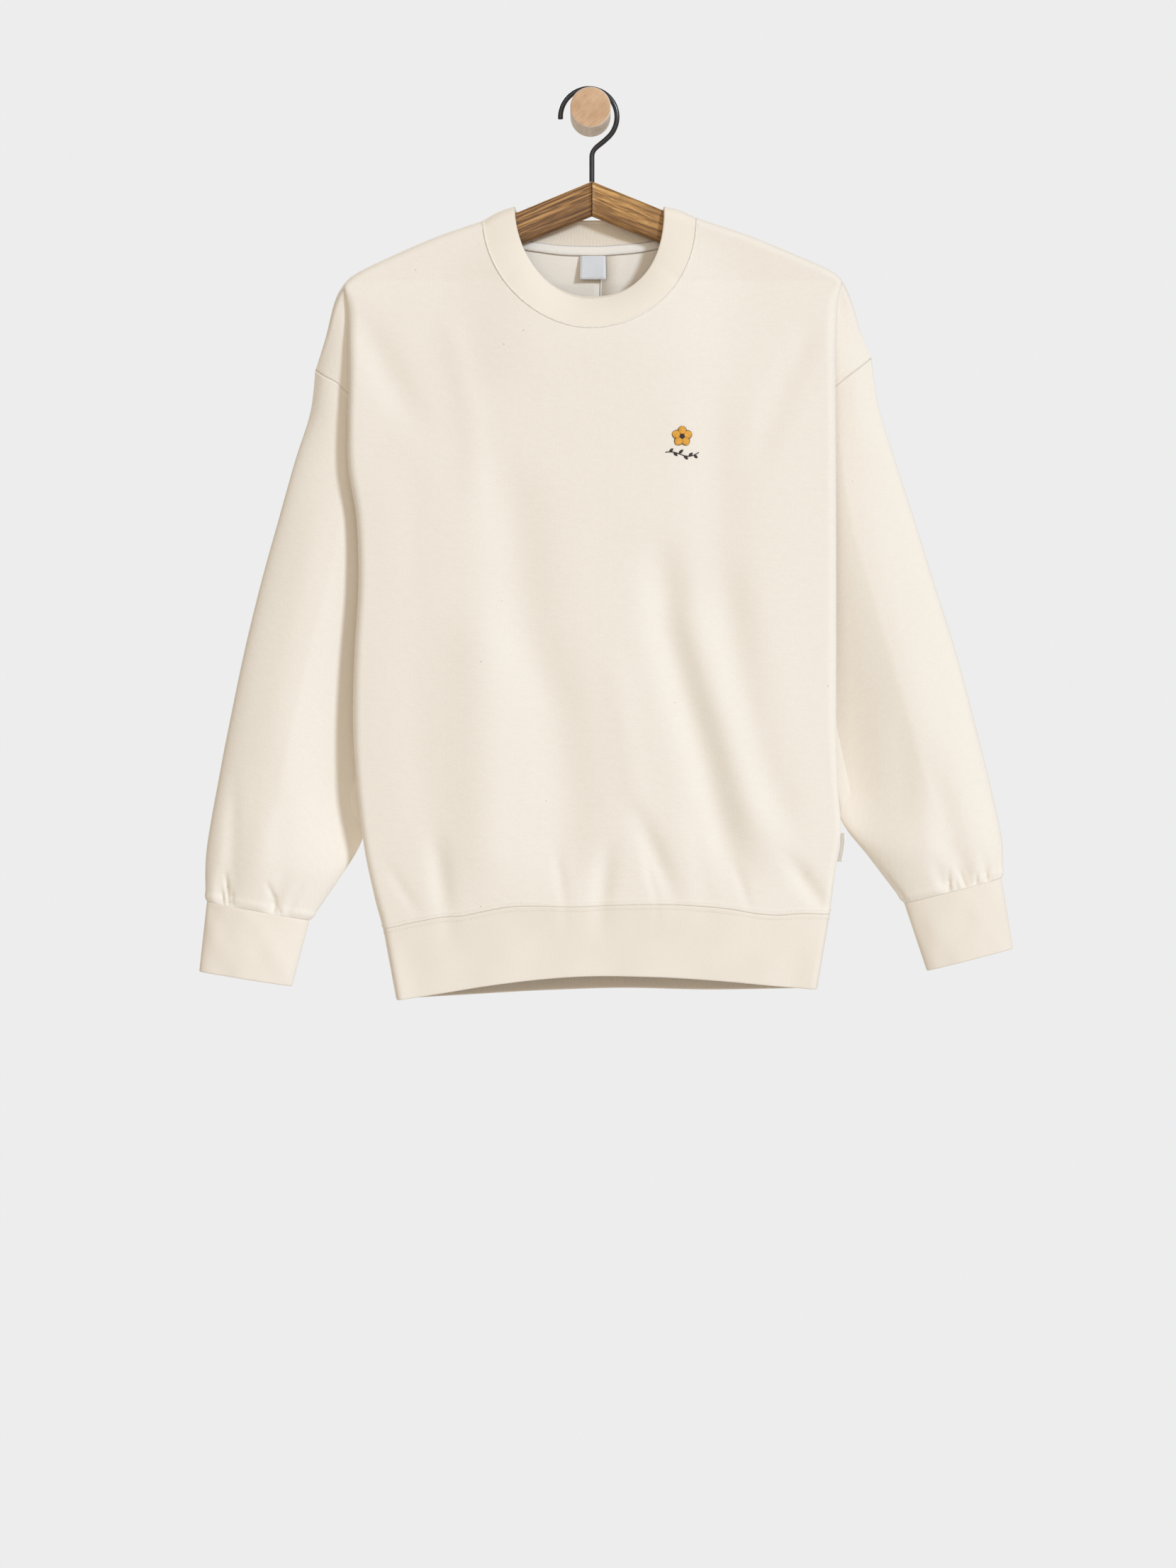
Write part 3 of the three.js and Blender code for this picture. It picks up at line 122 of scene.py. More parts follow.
SLEEVE = {
    "left": table(SLEEVE_NAMES, [
        (238.5, -210, 145, -340, 11), (245, -252, 149.5, -372, 13), (258.5, -296, 156, -404, 15.5),
        (274.6, -346, 165, -440, 17), (292.8, -404, 176, -482, 18), (311, -462, 188, -524, 19),
        (326.5, -520, 200.5, -566, 20), (339.5, -572, 214, -604, 20), (349.5, -618, 237, -634, 19),
        (350.5, -650.5, 266, -672, 13)]),
    "right": table(SLEEVE_NAMES, [
        (-233.7, -220.2, -138, -350, 11), (-238, -256, -141.5, -383, 13), (-250.5, -296, -147, -415, 15.5),
        (-264, -344, -154, -450, 17), (-279, -398, -162.5, -490, 18), (-293, -455, -172, -530, 19),
        (-305, -512, -182.5, -575, 20), (-314.5, -560, -194, -619, 20), (-326.3, -628, -213.5, -652, 19),
        (-327, -670.5, -237.5, -686.5, 13)]),
}
CUFF = {
    "left": {"top": (349.4, -651.2, 266.7, -672.8, 12), "end": (359, -710, 285.5, -729, 10)},
    "right": {"top": (-326, -671.2, -238.8, -687.2, 12), "end": (-332.4, -729.5, -253.3, -742.2, 10)},
}

# Folds: path of (x, z) points from the top, half width and depth (a ridge is negative)
FRONT_FOLDS = [
    dict(width=17, depth=6.4, path=[(60, -385), (66, -443), (80, -495), (95, -545), (107, -595), (118, -640)]),
    dict(width=20, depth=-3.6, path=[(84, -430), (101, -486), (119, -536), (136, -586), (151, -624)]),
    dict(width=17, depth=3.0, path=[(115, -400), (127, -492), (137, -542), (160, -607)]),
    dict(width=22, depth=2.4, path=[(104, -250), (106, -350), (108, -480)]),
    dict(width=26, depth=4.4, path=[(-68, -310), (-58, -437), (-31, -507), (-20, -590), (-24, -650)]),
    dict(width=26, depth=-4, path=[(-92, -430), (-90, -540), (-88, -657)]),
    dict(width=16, depth=3, path=[(-196, -175), (-176, -215), (-152, -262)]),
    dict(width=9, depth=3, path=[(-130, -622), (-122, -680)]),
    dict(width=9, depth=3, path=[(14, -630), (8, -680)]),
    dict(width=10, depth=3.5, path=[(42, -600), (66, -660)]),
    dict(width=9, depth=3, path=[(170, -636), (196, -676)]),
]
BACK_FOLDS = [
    dict(width=18, depth=-5, path=[(-96, -330), (-88, -480), (-70, -640)]),
    dict(width=16, depth=-4.5, path=[(84, -360), (98, -500), (112, -640)]),
    dict(width=11, depth=-3, path=[(30, -590), (36, -676)]),
]
# Small creases that only the cloth's surface has
FRONT_CREASES = [
    dict(width=5, depth=1.1, path=[(-28, -632), (-22, -674)]),
    dict(width=4, depth=0.9, path=[(48, -640), (56, -672)]),
    dict(width=4.5, depth=1.0, path=[(122, -640), (134, -676)]),
    dict(width=5, depth=1.0, path=[(182, -644), (168, -662)]),
    dict(width=7, depth=1.2, path=[(-172, -640), (-150, -676)]),
    dict(width=9, depth=1.2, path=[(-188, -640), (-182, -690)]),
    dict(width=14, depth=0.5, path=[(-150, -300), (-148, -470), (-140, -600)]),
    dict(width=12, depth=-0.9, path=[(20, -470), (34, -560), (46, -620)]),
    dict(width=9, depth=0.8, path=[(84, -590), (98, -670)]),
    dict(width=14, depth=1.5, path=[(186, -190), (160, -240), (140, -300)]),
    dict(width=12, depth=-1.2, path=[(-120, -180), (-100, -260), (-96, -330)]),
]
BACK_CREASES = [
    dict(width=14, depth=-1.6, path=[(-150, -250), (-140, -400), (-136, -560)]),
    dict(width=13, depth=-1.6, path=[(150, -260), (148, -420), (150, -580)]),
    dict(width=8, depth=-1.4, path=[(-30, -610), (-24, -676)]),
    dict(width=8, depth=-1.2, path=[(-130, -620), (-124, -684)]),
    dict(width=8, depth=-1.2, path=[(88, -620), (94, -676)]),
    dict(width=16, depth=1.6, path=[(-30, -180), (-40, -330), (-30, -470)]),
]
FOLD_FADE = 34.0
GATHER_NAMES = "turn width depth"
GATHERS = {
    "left": table(GATHER_NAMES, [(0.07, 0.018, 2.4), (0.13, 0.02, 3.2), (0.2, 0.024, 3.6), (0.27, 0.02, 3.0),
                                 (0.45, 0.02, 2.4), (0.6, 0.022, 3.0), (0.73, 0.024, 3.2), (0.86, 0.02, 2.6)]),
    "right": table(GATHER_NAMES, [(0.12, 0.022, 4.0), (0.29, 0.02, 3.4), (0.34, 0.016, 2.4),
                                  (0.58, 0.022, 3.0), (0.71, 0.024, 3.4), (0.88, 0.02, 2.8)]),
}
SLEEVE_FOLDS = {
    "left": [(0.22, 0.05, 2.6, 0.62, 0.95)],
    "right": [(0.17, 0.04, 1.6, 0.7, 1.0), (0.74, 0.06, 3.0, 0.4, 0.9)],
}
SLEEVE_CREASES = {
    "left": [
        dict(width=12, depth=0.9, path=[(262, -512), (264, -610)]),
        dict(width=10, depth=1.1, path=[(297, -574), (312, -644)]),
        dict(width=9, depth=-0.7, path=[(280, -560), (290, -650)]),
        dict(width=14, depth=-0.8, path=[(232, -330), (262, -450), (290, -560)]),
    ],
    "right": [
        dict(width=7, depth=1.9, path=[(-302, -578), (-306, -668)]),
        dict(width=12, depth=-0.8, path=[(-282, -560), (-280, -650)]),
        dict(width=10, depth=0.6, path=[(-262, -580), (-262, -660)]),
        dict(width=14, depth=-0.8, path=[(-228, -340), (-256, -470), (-270, -560)]),
    ],
}
# Tight pinches where the cloth is sewn into the cuff
PINCHES = {
    "left": [
        dict(width=1.6, depth=2.2, path=[(303, -646), (304, -666)]),
        dict(width=1.5, depth=1.8, path=[(309, -652), (311, -664)]),
        dict(width=1.7, depth=2.6, path=[(313, -646), (319, -662)]),
        dict(width=1.5, depth=1.8, path=[(327, -648), (327, -658)]),
        dict(width=1.5, depth=1.6, path=[(335, -645), (336, -656)]),
    ],
    "right": [
        dict(width=1.6, depth=2.6, path=[(-309, -650), (-306.5, -674)]),
        dict(width=1.2, depth=1.6, path=[(-304, -662), (-303, -674)]),
        dict(width=1.2, depth=1.4, path=[(-312, -664), (-311, -674)]),
        dict(width=1.8, depth=3.0, path=[(-272, -658), (-268, -668), (-268, -681)]),
        dict(width=1.3, depth=1.8, path=[(-264, -675), (-263, -682)]),
    ],
}
FRONT = dict(sign=-1, face="front", inset=0.0, crown=1.0, folds=FRONT_FOLDS, creases=FRONT_CREASES,
             drop=95.0, neck_y=-46.0, seed=3)
BACK = dict(sign=1, face="back", inset=4.0, crown=0.22, folds=BACK_FOLDS, creases=BACK_CREASES,
            drop=23.2, neck_y=-17.0, seed=8)


# Small helpers
def mix(a, b, t):
    return a + (b - a) * t


def smooth(t):
    s = np.clip(t, 0, 1)
    return s * s * (3 - 2 * s)


def along(column, place):
    place = np.asarray(place, float)
    last = len(column) - 1
    first = np.clip(np.floor(place), 0, last - 1).astype(int)
    t = place - first
    p0, p1, p2, p3 = (column[np.clip(first + k, 0, last)] for k in (-1, 0, 1, 2))
    m1, m2 = (p2 - p0) / 2, (p3 - p1) / 2
    return ((2 * t**3 - 3 * t**2 + 1) * p1 + (t**3 - 2 * t**2 + t) * m1
            + (3 * t**2 - 2 * t**3) * p2 + (t**3 - t**2) * m2)


def along_at(rows, column, place):
    """A smooth curve through a column whose rows are unevenly placed."""
    at, value = rows["at"], rows[column]
    slope = np.gradient(value, at)
    row = np.clip(np.searchsorted(at, place, side="right") - 1, 0, len(at) - 2)
    wide = at[row + 1] - at[row]
    t = np.clip((place - at[row]) / wide, 0, 1)
    return ((2 * t**3 - 3 * t**2 + 1) * value[row] + (t**3 - 2 * t**2 + t) * wide * slope[row]
            + (3 * t**2 - 2 * t**3) * value[row + 1] + (t**3 - t**2) * wide * slope[row + 1])


def roll_out(drop, radius):
    left = 1 - np.clip(drop / radius, 0, 1)
    return radius * np.sqrt(1 - left * left)


def roll_off(distance, span):
    left = 1 - np.clip(distance / span, 0, 1)
    return 1 - np.sqrt(1 - left * left)


def crest_z(x):
    x0 = np.where(x < 0, SHOULDER["right"]["x"][0], SHOULDER["left"]["x"][0])
    z0 = np.where(x < 0, SHOULDER["right"]["z"][0], SHOULDER["left"]["z"][0])
    return z0 + (np.abs(x0) - np.abs(x)) * RIDGE_SLOPE


def fold_depth(folds, x, z, fade=FOLD_FADE):
    depth = np.zeros(np.broadcast(x, z).shape)
    for fold in folds:
        path = np.array(fold["path"], float)
        length = min(fade, (path[0, 1] - path[-1, 1]) * 0.45)
        ends = smooth((path[0, 1] + length - z) / (2 * length)) * smooth((z - path[-1, 1] + length) / (2 * length))
        line = np.interp(-z, -path[:, 1], path[:, 0])
        first = (path[1, 0] - path[0, 0]) / (path[1, 1] - path[0, 1])
        last = (path[-1, 0] - path[-2, 0]) / (path[-1, 1] - path[-2, 1])
        line = line + np.clip(z - path[0, 1], 0, length) * first + np.clip(z - path[-1, 1], -length, 0) * last
        depth += fold["depth"] * ends * np.exp(-((x - line) / fold["width"]) ** 2)
    return depth


def ripple(x, z, seed, wave, lean=0.25, count=9):
    """Uneven soft waves, mostly running down the cloth."""
    rng = np.random.default_rng(seed)
    total = np.zeros(np.broadcast(x, z).shape)
    for _ in range(count):
        k = 2 * math.pi / (wave * rng.uniform(0.7, 1.6))
        angle = rng.normal(0, lean)
        total += np.sin(k * (x * math.cos(angle) + z * math.sin(angle)) + rng.uniform(0, 6.28)) * rng.uniform(0.5, 1)
    return total / math.sqrt(count)


# Body panels
PLACES = np.linspace(0, LEVELS, 1301)
HEIGHTS = (along(SIDE["left"]["foldZ"], PLACES) + along(SIDE["right"]["foldZ"], PLACES)) / 2


def place_of(z):
    return np.interp(-z, -HEIGHTS, PLACES)


def fold_line(panel, side, place):
    rows = SIDE[side]
    inward = -1 if side == "left" else 1
    inset = panel["inset"] * smooth(place / 2) * (1 - smooth((place - 10) / 2))
    return (along(rows["foldX"], place) + inward * inset, along(rows["foldZ"], place),
            along(rows[panel["face"]], place), along(rows["round"], place))


def face_at(panel, x, z):
    place = place_of(z)
    right_x, _, right_face, _ = fold_line(panel, "right", place)
    left_x, _, left_face, _ = fold_line(panel, "left", place)
    share = np.clip((x - right_x) / (left_x - right_x), 0, 1)
    middle = 1 - np.abs(2 * share - 1) ** 2.6
    crown = panel["crown"] * along(CROWN, place) * middle
    further = abs(panel["neck_y"] - RIDGE_Y) - RIDGE_ROUND
    lean = (further * np.exp(-(((x - NECK_X) / NECK_LEAN["half_width"]) ** 4))
            * smooth((z - NECK_LEAN["from"]) / (NECK_LEAN["to"] - NECK_LEAN["from"]))
            * smooth((crest_z(x) - z) / NECK_LEAN["start"]))
    return mix(right_face, left_face, share) + panel["sign"] * (crown + lean)


def top_edge(panel, share):
    t = (share - NECK_SHARE) / (1 - 2 * NECK_SHARE)
    on_neck = (t >= 0) & (t <= 1)
    place = TIP_ROW * np.clip(1 - np.minimum(share, 1 - share) / NECK_SHARE, 0, 1)
    is_right = share < 0.5
    shoulder_x = np.where(is_right, along(SHOULDER["right"]["x"], place), along(SHOULDER["left"]["x"], place))
    shoulder_z = np.where(is_right, along(SHOULDER["right"]["z"], place), along(SHOULDER["left"]["z"], place))
    angle = np.clip(t, 0, 1) * math.pi
    power = 2 / np.where(is_right, NECK_FULLNESS["right"], NECK_FULLNESS["left"])
    across = np.abs(np.cos(angle)) ** power
    down = np.clip(np.sin(angle), 0, 1) ** power
    start = np.where(is_right, SHOULDER["right"]["x"][0], SHOULDER["left"]["x"][0])
    neck_x = mix(NECK_X, start, across)
    level = mix(SHOULDER["right"]["z"][0], SHOULDER["left"]["z"][0], (1 - np.cos(angle)) / 2)
    neck_z = level - panel["drop"] * down
    x = np.where(on_neck, neck_x, shoulder_x)
    z = np.where(on_neck, neck_z, shoulder_z)
    face = face_at(panel, x, z)
    y = np.where(on_neck, mix(RIDGE_Y, face, roll_out(crest_z(x) - z, RIDGE_ROUND) / RIDGE_ROUND), RIDGE_Y)
    return x, z, y, face


def field_points(panel, share, level, fine=True):
    share, level = np.broadcast_arrays(share, level)
    place = level * LEVELS
    right = fold_line(panel, "right", place)
    left = fold_line(panel, "left", place)
    top_x, top_z, top_y, top_face = top_edge(panel, share)
    ends = {(side, k): fold_line(panel, side, np.array(float(k * LEVELS))) for side in SIDE for k in (0, 1)}
    bottom = (mix(ends["right", 1][0], ends["left", 1][0], share), along_at(HEM_SEAM, "z", share))

    def patch(top, low, axis):
        return (mix(top, low, level) + mix(right[axis], left[axis], share)
                - mix(mix(ends["right", 0][axis], ends["left", 0][axis], share),
                      mix(ends["right", 1][axis], ends["left", 1][axis], share), level))

    from_corner = np.abs(share - 0.5) - (0.5 - NECK_SHARE)
    spread = 4 * np.exp(-((from_corner / 0.07) ** 2)) * np.sin(np.clip(level / 0.3, 0, 1) * math.pi)
    x = patch(top_x, bottom[0], 0) + np.sign(share - 0.5) * spread
    z = patch(top_z, bottom[1], 1)
    y = face_at(panel, x, z) + fold_depth(panel["folds"], x, z) * smooth(level / 0.1)
    y = y + (top_y - top_face) * roll_off(level, RIDGE_SPAN)
    nearer_right = x - right[0] < left[0] - x
    edge = np.maximum(np.where(nearer_right, x - right[0], left[0] - x), 0)
    radius = np.where(nearer_right, right[3], left[3])
    y = y - panel["sign"] * radius * roll_off(edge, radius)
    if fine:
        calm = smooth(level / 0.12) * smooth(edge / 30)
        y = y + fold_depth(panel["creases"], x, z, 16) * calm
        y = y + (0.24 * ripple(x, z, panel["seed"], 95) + 0.08 * ripple(x, z, panel["seed"] + 1, 38, 0.5)) * calm
    return np.stack([x, y, z], -1)


def seam_points(panel, side, level):
    rows = SIDE[side]
    place = np.asarray(level, float) * LEVELS
    depth = along(rows["seamY"], place)
    if panel["sign"] > 0:
        depth = 2 * SLEEVE_Y["armhole"] + 6 * (1 - smooth(place / ARMPIT_ROW)) - depth
    return np.stack([along(rows["seamX"], place), depth, along(rows["seamZ"], place)], -1)


def bezier(p0, p1, p2, p3, t):
    t = t[..., None]
    return (1 - t) ** 3 * p0 + 3 * (1 - t) ** 2 * t * p1 + 3 * (1 - t) * t**2 * p2 + t**3 * p3


def strip_points(panel, side, t, level):
    t, level = np.broadcast_arrays(np.asarray(t, float), np.asarray(level, float))
    outward = 1 if side == "left" else -1
    end = 1.0 if side == "left" else 0.0
    rows = SIDE[side]
    place = level * LEVELS
    fold = field_points(panel, np.full(level.shape, end), level)
    seam = seam_points(panel, side, level)
    tuck = along(rows["tuck"], place)
    lead = along(rows["lead"], place)
    deep = np.minimum(6.5, np.abs(seam[..., 1] - fold[..., 1]) * 0.6)
    first = np.stack([fold[..., 0] - outward * tuck, fold[..., 1] - panel["sign"] * deep, fold[..., 2]], -1)
    second = np.stack([seam[..., 0] - outward * lead, seam[..., 1] + panel["sign"] * np.abs(lead) * 0.3,
                       seam[..., 2] + np.maximum(lead, 0)], -1)
    point = bezier(fold, first, second, seam, t)
    outline = smooth(1 - level / 0.14)
    top_fold = field_points(panel, np.array(end), np.array(0.0))
    top_seam = seam_points(panel, side, 0.0)
    lead0 = rows["lead"][0]
    top_second = top_seam + np.array([-outward * lead0, 0, lead0])
    top = bezier(top_fold, top_fold, top_second, top_seam, t)
    on_line = mix(TIP_ROW, len(SHOULDER[side]["x"]) - 1, t)
    point[..., 0] += (along(SHOULDER[side]["x"], on_line) - top[..., 0]) * outline
    point[..., 2] += (along(SHOULDER[side]["z"], on_line) - top[..., 2]) * outline
    point[..., 1] += (RIDGE_Y - point[..., 1]) * roll_off(level, RIDGE_SPAN)
    return point


def panel_grid(panel, zones, levels):
    """Rows of points over a panel; zones is a list of (zone, steps)."""
    level = np.array(levels)[:, None]
    parts = []
    for zone, steps in zones:
        step = np.array(steps)[None, :]
        parts.append(field_points(panel, step, level) if zone == "field" else strip_points(panel, zone, step, level))
    return np.concatenate(parts, 1)


# Sleeves and cuffs
def ring_points(row, turn, y, wedge):
    out_x, out_z, in_x, in_z, depth = row
    angle = turn * 2 * math.pi
    across = (1 + np.cos(angle)) / 2
    round_ = np.abs(np.sin(angle)) ** 1.1
    thin = np.minimum(round_, smooth((across - 0.06) / 0.58))
    lift = np.sign(np.sin(angle)) * mix(round_, thin, wedge)
    return np.stack([mix(in_x, out_x, across), y - depth * lift, mix(in_z, out_z, across)], -1)


def sleeve_row(side, share):
    rows = SLEEVE[side]
    place = share * (len(rows["outX"]) - 1)
    return [along(rows[name], place) for name in SLEEVE_NAMES.split()]


def sleeve_points(side, share, turn):
    share, turn = np.broadcast_arrays(share, turn)
    outward = 1 if side == "left" else -1
    y = mix(SLEEVE_Y["armhole"], SLEEVE_Y["cuff"], smooth((share - 0.6) / 0.4))
    point = ring_points(sleeve_row(side, share), turn, y, 1 - smooth((share - 0.7) / 0.2))
    start = smooth(1 - share / 0.3)
    level = np.where(turn <= 0.5, turn, 1 - turn) * 2 * ARMPIT_ROW / LEVELS
    seam = np.where((turn <= 0.5)[..., None], seam_points(FRONT, side, level), seam_points(BACK, side, level))
    plain = ring_points(sleeve_row(side, np.zeros(share.shape)), turn, SLEEVE_Y["armhole"], 1)
    point = point + (seam - plain) * start[..., None]
    point[..., 0] += outward * 2.6 * start * smooth(2 - 4 * np.abs(turn - 0.5)) * smooth(share / 0.012)
    gather = smooth(1 - (1 - share) / 0.12) * mix(1, 0.4, smooth((share - 0.975) / 0.025))
    press = np.zeros(share.shape)
    rows = GATHERS[side]
    for at, width, depth in zip(rows["turn"], rows["width"], rows["depth"]):
        press += depth * np.exp(-((turn - at) / width) ** 2) * gather
    for at, width, depth, low, high in SLEEVE_FOLDS[side]:
        press += (depth * np.exp(-((turn - at) / width) ** 2) * smooth((share - low) / 0.12)
                  * smooth((high - share) / 0.12 + 0.4))
    angle = turn * 2 * math.pi
    point[..., 1] += press * np.sin(angle)
    point[..., 0] -= outward * press * np.cos(angle) * 0.5
    facing = np.sin(angle)
    x, z = point[..., 0], point[..., 2]
    calm = smooth(share / 0.08)
    folds = fold_depth(SLEEVE_CREASES[side], x, z, 30) * calm
    folds = folds + fold_depth(PINCHES[side], x, z, 8)
    folds = folds + 0.32 * ripple(x, z, 21 + outward, 70, 0.3) * calm * smooth((1 - share) / 0.05)
    point[..., 1] += np.where(facing > 0, 1, -0.8) * folds * smooth(np.abs(facing) / 0.5)
    return point


def cuff_points(side, step, turn):
    step, turn = np.broadcast_arrays(step, turn)
    top, end = CUFF[side]["top"], CUFF[side]["end"]
    row = [mix(a, b, step) for a, b in zip(top, end)]
    row[4] = row[4] + 1.2 * np.sin(step * math.pi)
    point = ring_points(row, turn, SLEEVE_Y["cuff"], 0)
    x, z = point[..., 0], point[..., 2]
    facing = np.sin(turn * 2 * math.pi)
    wave = 0.35 * ripple(x, z, 5 if side == "left" else 6, 26, 0.4)
    point[..., 1] += np.sign(facing) * wave * smooth(np.abs(facing) / 0.5) * smooth(step / 0.1)
    return point


# Hem rib and collar
def hem_points(panel, rim, step):
    """rim is a row of panel points at the seam, step runs down the rib."""
    right_x, left_x = SIDE["right"]["foldX"][-1], SIDE["left"]["foldX"][-1]
    share = np.clip((rim[:, 0] - right_x) / (left_x - right_x), 0, 1)
    towards = panel["sign"] * HEM_EDGE["inward"] * (1 - np.abs(2 * share - 1) ** 3)
    low = np.stack([mix(HEM_EDGE["right"], HEM_EDGE["left"], share) + rim[:, 0] - mix(right_x, left_x, share),
                    rim[:, 1] - towards, along_at(HEM_EDGE[panel["face"]], "z", share)], -1)
    grid = mix(rim[None], low[None], step[:, None, None])
    far = lengths(rim[None], 1)[0]
    weight = np.exp(-((far[:, None] - far[None]) / 24) ** 2)
    calm = (weight @ rim[:, 1] / weight.sum(1) - rim[:, 1]) * smooth(np.minimum(share, 1 - share) / 0.12)
    grid[..., 1] += calm[None] * smooth(step / 0.6)[:, None]
    wave = 0.4 * ripple(grid[..., 0], grid[..., 2], 31 + panel["sign"], 60, 0.3)
    grid[..., 1] += wave * smooth(step / 0.15)[:, None] * (1 - np.abs(2 * share - 1) ** 6)[None]
    return grid


def collar_edge(angle):
    is_front = angle <= math.pi
    is_right = np.cos(angle) > 0
    fullness = np.where(is_front, np.where(is_right, COLLAR["right"], COLLAR["left"]), 2.2)
    across = np.sign(np.cos(angle)) * np.abs(np.cos(angle)) ** (2 / fullness)
    down = np.abs(np.sin(angle)) ** (2 / fullness)
    x = COLLAR["x"] - COLLAR["half"] * across
    z = mix(COLLAR["top"], np.where(is_front, COLLAR["front_z"], COLLAR["back_z"]), down)
    crest = COLLAR["top"] + (COLLAR["half"] - np.abs(x - COLLAR["x"])) * RIDGE_SLOPE
    reach = np.abs(np.where(is_front, COLLAR["front_y"], COLLAR["back_y"]) - RIDGE_Y) - COLLAR["crest"]
    out = roll_out(crest - z, COLLAR["crest"]) + reach * np.abs(np.sin(angle)) ** 1.5
    return np.stack([x, RIDGE_Y + np.where(is_front, -out, out), z], -1)


def collar_grid(angles, steps):
    is_front = angles <= math.pi
    turn = np.where(is_front, angles, 2 * math.pi - angles)
    share = mix(NECK_SHARE, 1 - NECK_SHARE, turn / math.pi)
    seams = []
    for panel in (FRONT, BACK):
        x, z, y, _ = top_edge(panel, share)
        seams.append(np.stack([x, y, z], -1))
    start = np.where(is_front[:, None], seams[0], seams[1])
    grid = mix(start[None], collar_edge(angles)[None], steps[:, None, None])
    lean = np.abs(np.sin(angles))[None]
    bulge = COLLAR["bulge"] * np.sin(steps * math.pi)[:, None]
    grid[..., 1] += np.where(is_front, -1, 1)[None] * bulge * lean
    grid[..., 2] += bulge * (1 - lean)
    return grid


# Mesh making
def normals_of(grid, closed, flip):
    if closed:
        across = np.roll(grid, -1, 1) - np.roll(grid, 1, 1)
    else:
        across = np.gradient(grid, axis=1)
    down = np.gradient(grid, axis=0)
    normal = np.cross(across, down)
    normal /= np.maximum(np.linalg.norm(normal, axis=-1, keepdims=True), 1e-9)
    return normal * flip


def lengths(grid, axis):
    step = np.linalg.norm(np.diff(grid, axis=axis), axis=-1)
    start = np.zeros_like(np.take(step, [0], axis=axis))
    return np.cumsum(np.concatenate([start, step], axis=axis), axis=axis)


def quads(rows, count, closed, base=0, flip=1):
    r = np.arange(rows - 1)[:, None]
    c = np.arange(count if closed else count - 1)[None, :]
    after = (c + 1) % count
    corners = [base + r * count + c, base + r * count + after, base + (r + 1) * count + after,
               base + (r + 1) * count + c]
    faces = np.stack(np.broadcast_arrays(*corners), -1).reshape(-1, 4)
    return faces if flip > 0 else faces[:, ::-1]


def build(name, points, faces, slot, material, uv=None, period=0.0):
    mesh = bpy.data.meshes.new(name)
    mesh.from_pydata((np.asarray(points) / 1000).tolist(), [], [tuple(face) for face in faces])
    if uv is not None:
        index = np.empty(len(mesh.loops), int)
        mesh.loops.foreach_get("vertex_index", index)
        loop_uv = np.asarray(uv)[index]
        if period:
            start = np.empty(len(mesh.polygons), int)
            total = np.empty(len(mesh.polygons), int)
            mesh.polygons.foreach_get("loop_start", start)
            mesh.polygons.foreach_get("loop_total", total)
            high = np.repeat(np.maximum.reduceat(loop_uv[:, 0], start), total)
            loop_uv[:, 0] += np.where(high - loop_uv[:, 0] > period / 2, period, 0)
        layer = mesh.uv_layers.new(name="UVMap")
        layer.data.foreach_set("uv", (loop_uv / 1000).ravel())
    mesh.polygons.foreach_set("use_smooth", [True] * len(mesh.polygons))
    mesh.materials.append(material)
    mesh.update()
    obj = bpy.data.objects.new(name, mesh)
    bpy.context.scene.collection.objects.link(obj)
    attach(obj, "root")
    return obj


def panel_uv(grid, zones):
    """Places across and up the cloth; a strip behind a fold carries on at its real length."""
    u, first = grid[..., 0].copy(), 0
    for zone, steps in zones:
        last = first + len(steps)
        if zone == "right":
            run = lengths(grid[:, :last + 1], 1)
            u[:, :last] = grid[:, last:last + 1, 0] - (run[:, -1:] - run[:, :-1])
        if zone == "left":
            run = lengths(grid[:, first - 1:], 1)
            u[:, first:] = grid[:, first - 1:first, 0] + run[:, 1:]
        first = last
    return np.stack([u, grid[..., 2]], -1)


def band_uv(grid, row):
    """Real lengths round one row of a ring and down its columns, with the ring's length."""
    around = lengths(np.concatenate([grid[row], grid[row][:1]])[None], 1)[0]
    u = np.broadcast_to(around[:-1], grid.shape[:2])
    return np.stack([u, -lengths(grid, 0)], -1), around[-1]


